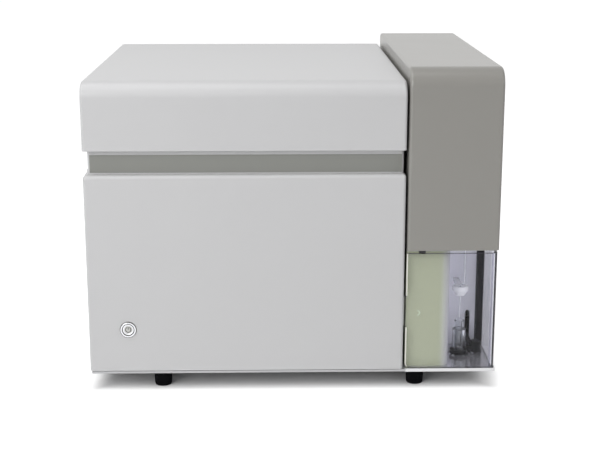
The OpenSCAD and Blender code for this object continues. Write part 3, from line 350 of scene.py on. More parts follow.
FINISHES = (
    Finish("light_paint", srgb(212, 212, 213), Pattern.PAINTED, 0.36, scale=1400.0, depth=0.00002, shine=0.3,
           coat=0.15),
    Finish("warm_paint", srgb(146, 144, 139), Pattern.PAINTED, 0.34, scale=1400.0, depth=0.00002, coat=0.3),
    Finish("rear_paint", srgb(204, 204, 206), Pattern.PAINTED, 0.50, scale=1100.0, depth=0.00004),
    Finish("inlay", srgb(144, 145, 140), Pattern.PAINTED, 0.46, scale=1800.0, depth=0.00001),
    # Warm tone on the bay's left and a light cool second tone; the cool tone is darkened near the front as
    # painted shade.
    Finish("bay_paint", srgb(152, 157, 131), Pattern.LINER, 0.42, scale=1400.0, depth=0.00001,
           second=srgb(240, 240, 246)),
    Finish("bay_floor", srgb(196, 196, 198), Pattern.MACHINED, 0.10, 0.75, depth=0.000004),
    Finish("plated_steel", srgb(196, 198, 202), Pattern.BRUSHED, 0.34, 1.0, depth=0.00001, drift=0.06),
    Finish("bright_steel", srgb(206, 207, 210), Pattern.MACHINED, 0.16, 1.0, scale=1600.0, depth=0.000004),
    Finish("aluminium", srgb(208, 209, 212), Pattern.BRUSHED, 0.30, 1.0, depth=0.00001, drift=0.05,
           along=Axis.Y),
    Finish("anodised", srgb(40, 40, 44), Pattern.MACHINED, 0.36, 0.6, scale=1300.0, depth=0.00001),
    Finish("black_metal", srgb(12, 12, 16), Pattern.PAINTED, 0.36, scale=1200.0, depth=0.00001, shine=0.05),
    Finish("black_plastic", srgb(20, 20, 23), Pattern.MOULDED, 0.46, scale=1500.0, shine=0.3),
    Finish("white_plastic", srgb(222, 222, 216), Pattern.MOULDED, 0.40, scale=1300.0, depth=0.00002),
    Finish("rubber", srgb(9, 9, 12), Pattern.MOULDED, 0.70, scale=1200.0, depth=0.00005, shine=0.05),
    Finish("quartz", (0.97, 0.99, 1.0), Pattern.CLEAR, 0.01, ior=1.46),
    Finish("smoked_acrylic", srgb(235, 235, 239), Pattern.CLEAR, 0.015, ior=1.2),
    # Darker copies of the smoked acrylic: painted shade on the door's side plate and its bent corner.
    Finish("smoked_side_shade", srgb(213, 213, 221), Pattern.CLEAR, 0.015, ior=1.2),
    Finish("smoked_bend_shade", srgb(186, 186, 196), Pattern.CLEAR, 0.02, ior=1.25),
    Finish("clear_acrylic", srgb(246, 248, 249), Pattern.CLEAR, 0.02),
    Finish("fibre_jacket", srgb(226, 134, 28), Pattern.MOULDED, 0.32, scale=1600.0, depth=0.00001),
    Finish("circuit_board", srgb(28, 92, 58), Pattern.BOARD, 0.34, scale=240.0, depth=0.00002),
    Finish("tubing", srgb(224, 224, 214), Pattern.MOULDED, 0.28, scale=500.0, depth=0.00001),
    # Near-white frosted finish: a painted highlight on the door's bevel.
    Finish("bevel_highlight", srgb(250, 248, 240), Pattern.FROSTED, 0.30, scale=700.0, depth=0.00001, clear=0.2),
    # Dark finish: painted shade on the door's top, bottom and rear edges.
    Finish("edge_shade", srgb(62, 62, 70), Pattern.FROSTED, 0.22, scale=700.0, depth=0.00001, clear=0.2),
    Finish("frosted_clear", srgb(248, 249, 250), Pattern.FROSTED, 0.12, depth=0.00001, clear=0.3),
    Finish("mark_grey", srgb(46, 46, 48), Pattern.PAINTED, 0.45, scale=2000.0, depth=0.00001, shine=0.1),
    # Dark metal: painted dark reflection on the bezel's outer edge and painted shade in the gap round the
    # button.
    Finish("dark_reflection_and_gap_shade", srgb(62, 60, 57), Pattern.MACHINED, 0.14, 1.0, scale=1600.0, depth=0.000004),
    Finish("button_face", srgb(178, 178, 175), Pattern.BRUSHED, 0.42, 0.7, depth=0.00001),
    Finish("mark_white", srgb(214, 226, 206), Pattern.PAINTED, 0.45, scale=2000.0, depth=0.00001),
    Finish("mirror_coat", srgb(216, 220, 228), Pattern.MACHINED, 0.03, 1.0, scale=2000.0, depth=0.000001),
)


class FinishShop:
    """Makes the material of each finish."""

    def __init__(self, groups: EffectGroups) -> None:
        """Makes every material, with the effects that they share."""
        self.groups = groups
        self.materials = {finish.slot: self._make(finish) for finish in FINISHES}

    def __getitem__(self, slot: str) -> bpy.types.Material:
        """The material of a slot."""
        return self.materials[slot]

    def _make(self, finish: Finish) -> bpy.types.Material:
        """Makes one material.

        Args:
            finish: What it looks like.

        Returns:
            The material, named as the finish's slot.
        """
        material = bpy.data.materials.new(finish.slot)
        material.use_nodes = True
        material.diffuse_color = (*finish.color, 1.0)
        graph = Graph(material.node_tree)
        shader = graph.tree.nodes["Principled BSDF"]
        graph.feed(shader, {"Metallic": finish.metallic, "IOR": finish.ior, "Specular IOR Level": finish.shine,
                            "Coat Weight": finish.coat, "Coat Roughness": 0.2})
        if finish.pattern is Pattern.CLEAR:
            self._clear(graph, shader, finish)
            return material
        if finish.pattern is Pattern.FROSTED:
            graph.feed(shader, {"Transmission Weight": finish.clear})
        color: Feed = finish.color
        if finish.pattern is Pattern.LINER:
            color = self._bay_tones(graph, finish)
        elif finish.pattern is Pattern.BOARD:
            color = self._tracks(graph, finish)
        drift = graph.effect(self.groups.mottle, {
            "Color": color, "Spread": finish.drift, "Gloss": finish.roughness,
            "Gloss Spread": 2 * finish.drift,
        })
        # Dust on upward faces and a painted highlight along outer edges.
        marks = graph.effect(self.groups.dust_and_highlight, {
            "Color": drift["Color"], "Edge Highlight": finish.edge_highlight, "Dust": finish.dust,
        })
        bump = graph.node("Bump", {"Distance": finish.depth, "Height": self._relief(graph, finish)})
        graph.feed(shader, {"Base Color": marks["Color"], "Roughness": drift["Roughness"],
                            "Normal": bump.outputs["Normal"]})
        return material

    def _relief(self, graph: Graph, finish: Finish) -> bpy.types.NodeSocket:
        """The height of a finish's close-up pattern.

        Args:
            graph: The material's graph.
            finish: What it looks like.

        Returns:
            The socket that gives the height.
        """
        if finish.pattern in STRETCH:
            scales = {f"Along {axis.name}": finish.scale for axis in Axis}
            scales[f"Along {finish.along.name}"] /= STRETCH[finish.pattern]
            return graph.effect(self.groups.streaks, scales)["Height"]
        roundness = 0.7 if finish.pattern is Pattern.MOULDED else 0.25
        return graph.effect(self.groups.grain, {"Scale": finish.scale, "Roundness": roundness})["Height"]

    @staticmethod
    def _clear(graph: Graph, shader: bpy.types.Node, finish: Finish) -> None:
        """Turns a material into clear glass or plastic that lets lamp light through.

        Args:
            graph: The material's graph.
            shader: Its Principled shader.
            finish: What it looks like.
        """
        haze_from, haze_to, haze = 0.45, 0.85, 0.05
        gloss = graph.ramp(graph.noise(40.0, 6.0), haze_from, haze_to, finish.roughness,
                           finish.roughness + haze)
        graph.feed(shader, {"Base Color": finish.color, "Transmission Weight": 1.0, "Roughness": gloss})
        through = graph.node("BsdfTransparent", {"Color": tuple(math.sqrt(part) for part in finish.color)})
        mix = graph.node("MixShader", {"Fac": graph.node("LightPath").outputs["Is Shadow Ray"],
                                       1: shader.outputs["BSDF"], 2: through.outputs["BSDF"]})
        graph.feed(graph.tree.nodes["Material Output"], {"Surface": mix.outputs["Shader"]})

    @staticmethod
    def _bay_tones(graph: Graph, finish: Finish) -> bpy.types.NodeSocket:
        """Colours the bay: warm on its left, cool on its right and above, and the cool tone darker near the
        front as painted shade.

        Args:
            graph: The material's graph.
            finish: What it looks like.

        Returns:
            The socket that gives the colour.
        """
        low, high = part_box("bay_liner")
        border, softness, ceiling = low.x + 52.0 * MM, 9.0 * MM, high.z - 3.0 * MM
        shade, shade_from, shade_to = 0.56, low.y + 17.0 * MM, low.y + 35.0 * MM
        place = graph.node("SeparateXYZ", {0: graph.place()}).outputs
        across = graph.ramp(place["X"], border - softness, border + softness, kind="SMOOTHSTEP")
        cooler = graph.calculate("MAXIMUM", across, graph.calculate("GREATER_THAN", place["Z"], ceiling))
        # Painted shade: the cool tone darkens towards the bay's front.
        cool = graph.mix(graph.ramp(place["Y"], shade_from, shade_to), shaded(finish.second, shade),
                         finish.second)
        return graph.mix(cooler, finish.color, cool)

    @staticmethod
    def _tracks(graph: Graph, finish: Finish) -> bpy.types.NodeSocket:
        """Draws copper tracks under the solder mask."""
        return graph.node("TexBrick", {
            "Vector": graph.place(), "Scale": finish.scale, "Color1": finish.color,
            "Color2": shaded(finish.color, 0.8), "Mortar": shaded(finish.color, 1.9), "Mortar Size": 0.03,
        }).outputs["Color"]


# ---------- modelling ----------


def deselect() -> None:
    """Leaves edit mode and clears the selection."""
    if bpy.context.object and bpy.context.object.mode != "OBJECT":
        bpy.ops.object.mode_set(mode="OBJECT")
    bpy.ops.object.select_all(action="DESELECT")


class Workpiece:
    """One piece being modelled, shaped by steps that act on what is picked by place or direction."""

    def __init__(self, body: bpy.types.Object) -> None:
        """Takes an object in hand."""
        self.body = body

    @classmethod
    def block(cls, name: str, low: Point, high: Point) -> Self:
        """Starts from a cuboid.

        Args:
            name: The piece's name.
            low: Its lowest corner.
            high: Its highest corner.

        Returns:
            The workpiece.
        """
        deselect()
        low, high = Vector(low), Vector(high)
        bpy.ops.mesh.primitive_cube_add(size=1.0, location=(low + high) / 2, scale=high - low)
        return cls._named(name)

    @classmethod
    def turned(cls, name: str, centre: Point, profile: list[tuple[float, float]], axis: Axis = Axis.Z,
               sides: int = 64) -> Self:
        """Starts from a disc and draws it out along a profile, as on a lathe.

        Args:
            name: The piece's name.
            centre: Where the axis crosses height 0 of the profile.
            profile: Radius and height of each station, from the first disc to the last.
            axis: The turning axis.
            sides: Sides of the circle.

        Returns:
            The workpiece, a closed solid.
        """
        deselect()
        radius, height = profile[0]
        bpy.ops.mesh.primitive_circle_add(vertices=sides, radius=radius, fill_type="NGON",
                                          location=(0.0, 0.0, height))
        piece = cls._named(name)
        with piece.editing():
            for next_radius, next_height in profile[1:]:
                ratio = next_radius / radius
                extrude((0.0, 0.0, next_height - height))
                bpy.ops.transform.resize(value=(ratio, ratio, 1.0), center_override=(0.0, 0.0, next_height))
                radius, height = next_radius, next_height
            bpy.ops.mesh.select_all(action="SELECT")
            bpy.ops.mesh.normals_make_consistent(inside=False)
        turns = {Axis.X: Matrix.Rotation(math.pi / 2, 4, "Y"), Axis.Y: Matrix.Rotation(-math.pi / 2, 4, "X"),
                 Axis.Z: Matrix.Identity(4)}
        piece.body.matrix_world = Matrix.Translation(centre) @ turns[axis]
        piece.settle()
        return piece

    @classmethod
    def piped(cls, name: str, route: list[Vector], radius: float) -> Self:
        """Starts from a round tube along a route, closed at its ends.

        Args:
            name: The piece's name.
            route: The points that its middle follows.
            radius: Its outer radius.

        Returns:
            The workpiece.
        """
        path = bpy.data.curves.new(name, "CURVE")
        path.dimensions = "3D"
        path.bevel_depth = radius
        path.bevel_resolution = 5
        path.use_fill_caps = True
        spline = path.splines.new("POLY")
        spline.points.add(len(route) - 1)
        for point, place in zip(spline.points, route, strict=True):
            point.co = (*place, 1.0)
        cls._linked(name, path)
        bpy.ops.object.convert(target="MESH")
        piece = cls._named(name)
        with piece.editing():
            piece.merge(1e-7)
            bpy.ops.mesh.normals_make_consistent(inside=False)
        return piece

    @classmethod
    def copy_of(cls, name: str, node: str) -> Self:
        """Starts from a merged copy of a frame node, with its flat faces cleaned up.

        Args:
            name: The piece's name.
            node: The frame node.

        Returns:
            The workpiece.
        """
        piece = cls._linked(name, frame["nodes"][node].data.copy())
        piece.body.data.materials.clear()
        bpy.ops.mesh.customdata_custom_splitnormals_clear()
        with piece.editing():
            piece.merge(1e-6)
            bpy.ops.mesh.dissolve_limited(angle_limit=math.radians(0.2))
        return piece

    @classmethod
    def _linked(cls, name: str, data: bpy.types.ID) -> Self:
        """Puts a mesh or a curve in the scene as a new object and holds it."""
        piece = cls(bpy.data.objects.new(name, data))
        bpy.context.scene.collection.objects.link(piece.body)
        piece.hold()
        return piece

    @classmethod
    def _named(cls, name: str) -> Self:
        """Names the primitive just added and settles it."""
        piece = cls(bpy.context.object)
        piece.body.name = piece.body.data.name = name
        piece.settle()
        return piece

    def hold(self) -> None:
        """Makes this piece the active object and the only one selected."""
        deselect()
        self.body.select_set(True)
        bpy.context.view_layer.objects.active = self.body

    def settle(self) -> None:
        """Puts the object at the origin, unturned and unscaled, with its place in its mesh."""
        self.hold()
        bpy.ops.object.transform_apply(location=True, rotation=True, scale=True)

    @contextmanager
    def editing(self) -> Iterator[None]:
        """Keeps the piece in edit mode for the steps inside."""
        self.hold()
        bpy.ops.object.mode_set(mode="EDIT")
        try:
            yield
        finally:
            bpy.ops.object.mode_set(mode="OBJECT")

    @staticmethod
    def merge(distance: float) -> None:
        """Selects all and merges points that are closer than a distance, in edit mode."""
        bpy.ops.mesh.select_all(action="SELECT")
        bpy.ops.mesh.remove_doubles(threshold=distance)

    @contextmanager
    def _picking(self, kind: str) -> Iterator[bmesh.types.BMesh]:
        """Clears the selection and gives the mesh for a new one, in edit mode."""
        bpy.ops.mesh.select_mode(type=kind)
        bpy.ops.mesh.select_all(action="DESELECT")
        yield bmesh.from_edit_mesh(self.body.data)
        bmesh.update_edit_mesh(self.body.data)

    def pick_edges(self, test: EdgeTest) -> None:
        """Selects the edges whose ends pass a test, in edit mode."""
        with self._picking("EDGE") as mesh:
            for edge in mesh.edges:
                edge.select_set(test(edge.verts[0].co, edge.verts[1].co))

    def pick_faces(self, test: FaceTest) -> None:
        """Selects the faces whose centre and normal pass a test, in edit mode."""
        with self._picking("FACE") as mesh:
            for face in mesh.faces:
                face.select_set(test(face.calc_center_median(), face.normal))

    def round_edges(self, test: EdgeTest, radius: float, segments: int) -> None:
        """Rounds the edges whose ends pass a test.

        Args:
            test: Given an edge's two ends, says whether it is rounded.
            radius: Radius of the round.
            segments: Faces across the round.
        """
        with self.editing():
            self.pick_edges(test)
            bpy.ops.mesh.bevel(offset=radius, segments=segments, profile=0.5, affect="EDGES")

    def open_at(self, *sides: tuple[Axis, int]) -> Self:
        """Deletes the faces that look along some directions, one direction after the other.

        Args:
            sides: Each direction as an axis and its sign.

        Returns:
            This workpiece.
        """
        for axis, sign in sides:
            with self.editing():
                self.pick_faces(facing(axis, sign))
                bpy.ops.mesh.delete(type="FACE")
        return self

    def slice_at(self, point: Point, normal: Point) -> None:
        """Cuts new edges all round where a plane through a point crosses the piece."""
        with self.editing():
            bpy.ops.mesh.select_all(action="SELECT")
            bpy.ops.mesh.bisect(plane_co=point, plane_no=normal)

    def modify(self, kind: str, **settings: object) -> Self:
        """Adds a modifier and applies it.

        Args:
            kind: The modifier's type.
            settings: Its settings.

        Returns:
            This workpiece.
        """
        self.hold()
        modifier = self.body.modifiers.new(kind.lower(), kind)
        for label, value in settings.items():
            setattr(modifier, label, value)
        bpy.ops.object.modifier_apply(modifier=modifier.name)
        return self

    def wall(self, thickness: float) -> Self:
        """Gives an open surface a wall that grows inwards."""
        return self.modify("SOLIDIFY", thickness=thickness, offset=-1.0, use_even_offset=True, use_rim=True)

    def soften(self, width: float = 0.4 * MM, segments: int = 2, angle: float = 40.0) -> Self:
        """Takes the sharpness off every edge that turns by more than an angle in degrees."""
        return self.modify("BEVEL", width=width, segments=segments, limit_method="ANGLE",
                           angle_limit=math.radians(angle), use_clamp_overlap=True)

    def repeat(self, count: int, step: Point) -> Self:
        """Repeats the piece in a row, at a fixed step."""
        return self.modify("ARRAY", count=count, use_relative_offset=False, use_constant_offset=True,
                           constant_offset_displace=step)

    def _combine(self, other: "Workpiece", operation: str) -> Self:
        """Combines another workpiece with this one and removes that workpiece."""
        self.modify("BOOLEAN", operation=operation, solver="EXACT", object=other.body)
        bpy.data.objects.remove(other.body)
        return self

    def cut(self, cutter: "Workpiece") -> Self:
        """Cuts another workpiece's shape out of this one."""
        return self._combine(cutter, "DIFFERENCE")

    def unite(self, other: "Workpiece") -> Self:
        """Melts another workpiece into this one."""
        return self._combine(other, "UNION")

    def drill(self, start: Point, radius: float, length: float, axis: Axis, sides: int = 64) -> None:
        """Bores a round hole of some length from a starting point along an axis."""
        self.cut(Workpiece.turned("drill", start, [(radius, 0.0), (radius, length)], axis, sides))

    def join(self, other: "Workpiece") -> Self:
        """Takes another workpiece's mesh into this piece as it is."""
        self.hold()
        other.body.select_set(True)
        bpy.ops.object.join()
        return self

    def paint(self, shop: FinishShop, slot: str, test: FaceTest) -> None:
        """Gives some faces of a dressed piece another finish.

        Args:
            shop: Where the materials are.
            slot: The finish's slot.
            test: Given a face's centre and normal, says whether it takes the finish.
        """
        mesh = self.body.data
        mesh.materials.append(shop[slot])
        for face in mesh.polygons:
            if test(face.center, face.normal):
                face.material_index = len(mesh.materials) - 1

    def dress(self, shop: FinishShop, slot: str, rides: str, *nodes: str, smooth: float = 38.0,
              record_slot: str = "") -> Self:
        """Finishes the piece: its shading, material, body and the nodes it stands for.

        Args:
            shop: Where the materials are.
            slot: The finish's slot.
            rides: The body that the piece moves with.
            nodes: The frame nodes that it stands for.
            smooth: Largest turn that is shaded smooth, in degrees.
            record_slot: The record's slot for this piece, where its finish isn't one of the record's. Not
                used.

        Returns:
            This workpiece.
        """
        self.settle()
        bpy.ops.object.shade_smooth_by_angle(angle=math.radians(smooth))
        self.modify("WEIGHTED_NORMAL", keep_sharp=True, weight=100)
        self.body.data.materials.clear()
        self.body.data.materials.append(shop[slot])
        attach(self.body, rides)
        if nodes:
            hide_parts(*nodes)
        LOG.info("%s: %d faces", self.body.name, len(self.body.data.polygons))
        return self


# ---------- picking helpers ----------


def extrude(travel: Point = (0.0, 0.0, 0.0)) -> None:
    """Draws the picked faces out, in edit mode."""
    bpy.ops.mesh.extrude_region_move(TRANSFORM_OT_translate={"value": travel})


def at(value: float, target: float) -> bool:
    """Whether two lengths are the same place."""
    return abs(value - target) < NEAR


def edge_on(*planes: tuple[Axis, float]) -> EdgeTest:
    """A test for edges that lie in every one of some planes, each an axis and its place on it."""
    return lambda start, end: all(at(point[axis.value], place) for point in (start, end)
                                  for axis, place in planes)


def running(axis: Axis) -> EdgeTest:
    """A test for edges that run along one axis."""
    return lambda start, end: all(at(start[other.value], end[other.value]) for other in Axis
                                  if other is not axis)


def facing(axis: Axis, sign: int) -> FaceTest:
    """A test for faces that look along one axis, towards its positive end if the sign is 1."""
    return lambda _, normal: normal[axis.value] * sign > STRAIGHT


def stations(radius: float, height: float, *steps: tuple[float, float]) -> list[tuple[float, float]]:
    """Stations of a turned profile, each some millimetres out from a radius and up from a height."""
    return [(radius + out * MM, height + up * MM) for out, up in steps]


def off_axis(centre: Vector, axis_point: Vector) -> float:
    """How far a face is from an axis along Y."""
    return math.hypot(centre.x - axis_point.x, centre.z - axis_point.z)


def round_top(shell: Workpiece, height: float, *rounds: tuple[float, float, int]) -> None:
    """Rounds upper edges that run along X, each given by its y, its radius and the faces across it."""
    for place, radius, faces in rounds:
        shell.round_edges(edge_on((Axis.Y, place), (Axis.Z, height)), radius, faces)


def round_sides(shell: Workpiece, low: Vector, high: Vector, radius: float, open_back: bool = False) -> None:
    """Rounds a hood's side edges, from the front's foot over the top to the rear's foot.

    Args:
        shell: The hood.
        low: Its lowest corner.
        high: Its highest corner.
        radius: Radius of the round.
        open_back: True where the hood ends in an open edge at its back.
    """
    on_left, on_right, on_foot = (edge_on((Axis.X, low.x)), edge_on((Axis.X, high.x)),
                                  edge_on((Axis.Z, low.z)))
    on_back = edge_on((Axis.Y, high.y))

    def side_edge(start: Vector, end: Vector) -> bool:
        """Whether an edge belongs to the rounded run of a side."""
        return ((on_left(start, end) or on_right(start, end)) and not on_foot(start, end)
                and not (open_back and on_back(start, end)))

    shell.round_edges(side_edge, radius, SMALL_ROUND)


# ---------- sub-assemblies ----------


@dataclass
class Assembly:
    """Pieces that are modelled together.

    Attributes:
        shop: Where the materials are.
    """

    shop: FinishShop

    def refine(self, node: str, width: float, name: str = "", segments: int = 2,
               smooth: float = 38.0) -> Workpiece:
        """Replaces a frame node by a merged copy with softened edges and smooth rounds.

        Args:
            node: The frame node.
            width: Width of the softened edges, 0 to leave them.
            name: The piece's name, or the node's with an ending if this is empty.
            segments: Faces across a softened edge.
            smooth: Largest turn that is shaded smooth, in degrees.

        Returns:
            The workpiece.
        """
        piece = Workpiece.copy_of(name or f"{node}_fine", node)
        if width > 0:
            piece.soften(width, segments, 45.0)
        return piece.dress(self.shop, SLOTS[node], BODIES[node], node, smooth=smooth)

    def smooth_tubes(self, node: str) -> None:
        """Replaces a node of flexible tubes by a rounder copy."""
        tubes = Workpiece.copy_of(f"{node}_round", node)
        tubes.modify("SUBSURF", levels=1, render_levels=1)
        tubes.dress(self.shop, SLOTS[node], BODIES[node], node, smooth=60.0)


@dataclass
class Cabinet(Assembly):
    """Moulded front, lid and belt of the cabinet with the sheet panels behind them.

    Attributes:
        wall: Wall of the moulded shells.
        side_round: Radius of the shells' side edges.
        ledge_round: Radius of the front panel's top edge.
        barrel_hole: Radius of the front panel's hole for the button's barrel.
        lid_front_round: Radius of the lid's front top edge.
        lid_rear_round: Radius of the lid's rear top edge.
        lid_rim: Width of the lid's inward rim.
        rim_corner: Corner radius of the opening inside the rim.
    """

    wall: float = 3.0 * MM
    side_round: float = 4.0 * MM
    ledge_round: float = 5.0 * MM
    barrel_hole: float = 9.8 * MM
    lid_front_round: float = 20.5 * MM
    lid_rear_round: float = 7.0 * MM
    lid_rim: float = 24.0 * MM
    rim_corner: float = 8.0 * MM

    def build(self) -> None:
        """Models the cabinet's pieces."""
        self.front()
        self.lid()
        self.inlay()
        for node in ("left_panel", "right_panel", "rear_panel", "belt", "base_tray"):
            self.refine(node, 0.35 * MM)

    def front(self) -> None:
        """Models the front panel, which wraps round to both sides, with its button hole."""
        low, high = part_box("front_panel")
        panel = Workpiece.block("front_shell", low, high)
        round_top(panel, high.z, (low.y, self.ledge_round, MEDIUM_ROUND))
        round_sides(panel, low, high, self.side_round, open_back=True)
        panel.open_at((Axis.Z, -1), (Axis.Y, 1)).wall(self.wall)
        barrel_low, barrel_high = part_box("button_bezel")
        middle = (barrel_low + barrel_high) / 2
        panel.drill((middle.x, low.y - self.wall, middle.z), self.barrel_hole, 3 * self.wall, Axis.Y)
        panel.soften().dress(self.shop, "light_paint", "instrument", "front_panel")

    def lid(self) -> None:
        """Models the lid: a hood with a large front round, hollow inside its inward rim."""
        low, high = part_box("top_lid")
        lid = Workpiece.block("lid_shell", low, high)
        hollow_low, hollow_high = low + self.wall * ONES, high - self.wall * ONES
        with lid.editing():
            lid.pick_faces(facing(Axis.Z, -1))
            bpy.ops.mesh.inset(thickness=self.lid_rim)
            extrude((0.0, 0.0, self.wall))
            extrude()
            hollow, opening = hollow_high - hollow_low, high - low - 2 * self.lid_rim * ONES
            middle = (low + high) / 2
            bpy.ops.transform.resize(value=(hollow.x / opening.x, hollow.y / opening.y, 1.0),
                                     center_override=(middle.x, middle.y, hollow_low.z))
            extrude((0.0, 0.0, hollow.z))
        round_top(lid, hollow_high.z, (hollow_low.y, self.lid_front_round - self.wall, LARGE_ROUND),
                  (hollow_high.y, self.lid_rear_round - self.wall, SMALL_ROUND))
        upright = running(Axis.Z)
        lid.round_edges(lambda start, end: upright(start, end)
                        and hollow_low.x + NEAR < start.x < hollow_high.x - NEAR, self.rim_corner,
                        SMALL_ROUND)
        round_top(lid, high.z, (low.y, self.lid_front_round, LARGE_ROUND),
                  (high.y, self.lid_rear_round, MEDIUM_ROUND))
        round_sides(lid, low, high, self.side_round)
        lid.soften(0.5 * MM).dress(self.shop, "light_paint", "lid", "top_lid")

    def inlay(self) -> None:
        """Models the grey strip in the belt, with softened long edges."""
        low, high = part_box("belt_inlay")
        strip = Workpiece.block("belt_strip", low, high)
        strip.round_edges(edge_on((Axis.Y, low.y)), 0.3 * MM, 3)
        strip.dress(self.shop, "inlay", "instrument", "belt_inlay")


@dataclass
class Tower(Assembly):
    """Moulded cover of the sampling tower with its lower shell and bay.

    Attributes:
        wall: Wall of the shells.
        side_round: Radius of the side edges.
        front_round: Radius of the front top edge.
        front_faces: Faces across that round.
        rear_round: Radius of the rear top edge.
        slot_width: Width of a rear air slot.
        slot_height: Height of a rear air slot.
        slot_pitch: Distance between slots.
        slots: Slots in a row.
        slot_rows: Height of each row's middle above the cover's foot.
        line_hole: The hole that the sample line passes through: its y, its z and its radius.
    """

    wall: float = 3.0 * MM
    side_round: float = 4.0 * MM
    front_round: float = 25.0 * MM
    front_faces: int = 18
    rear_round: float = 7.0 * MM
    slot_width: float = 4.0 * MM
    slot_height: float = 50.0 * MM
    slot_pitch: float = 12.0 * MM
    slots: int = 7
    slot_rows: tuple[float, float] = (90.0 * MM, 160.0 * MM)
    line_hole: tuple[float, float, float] = (-0.09025, 0.240, 0.006)

    def build(self) -> None:
        """Models the tower's pieces."""
        self.cover()
        self.lower_shell()
        for node in ("bay_liner", "bay_floor", "door_catch"):
            self.refine(node, 0.4 * MM)

    def cover(self) -> None:
        """Models the hood with its rear air slots."""
        low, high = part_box("tower_cover")
        cover = Workpiece.block("tower_hood", low, high)
        round_top(cover, high.z, (low.y, self.front_round, self.front_faces),
                  (high.y, self.rear_round, MEDIUM_ROUND))
        round_sides(cover, low, high, self.side_round)
        cover.open_at((Axis.Z, -1)).wall(self.wall)
        for height in self.slot_rows:
            cover.cut(self._slot_cutter(low, high, height))
        line_y, line_z, radius = self.line_hole
        cover.drill((low.x - self.wall, line_y, line_z), radius, 3 * self.wall, Axis.X, 32)
        cover.soften().dress(self.shop, "warm_paint", "instrument", "tower_cover")

    def _slot_cutter(self, low: Vector, high: Vector, height: float) -> Workpiece:
        """Makes a row of upright slots with round ends that reach through the rear wall.

        Args:
            low: The cover's lowest corner.
            high: The cover's highest corner.
            height: Height of the row's middle above the cover's foot.

        Returns:
            The cutter.
        """
        half_width, half_height = self.slot_width / 2, self.slot_height / 2
        first = (low.x + high.x) / 2 - (self.slots - 1) / 2 * self.slot_pitch
        middle = low.z + height
        cutter = Workpiece.block("slot_cutter",
                                 (first - half_width, high.y - 2 * self.wall, middle - half_height),
                                 (first + half_width, high.y + self.wall, middle + half_height))
        cutter.round_edges(running(Axis.Y), half_width * 0.99, 5)
        return cutter.repeat(self.slots, (self.slot_pitch, 0.0, 0.0))

    def lower_shell(self) -> None:
        """Models the shell behind the bay: two sides and a back with round corners."""
        low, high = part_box("tower_lower_shell")
        shell = Workpiece.block("tower_skirt", low, high)
        on_back, upright = edge_on((Axis.Y, high.y)), running(Axis.Z)
        shell.round_edges(lambda start, end: on_back(start, end) and upright(start, end), self.side_round,
                          SMALL_ROUND)
        shell.open_at((Axis.Z, 1), (Axis.Z, -1), (Axis.Y, -1)).wall(self.wall).soften()
        shell.dress(self.shop, "warm_paint", "instrument", "tower_lower_shell")


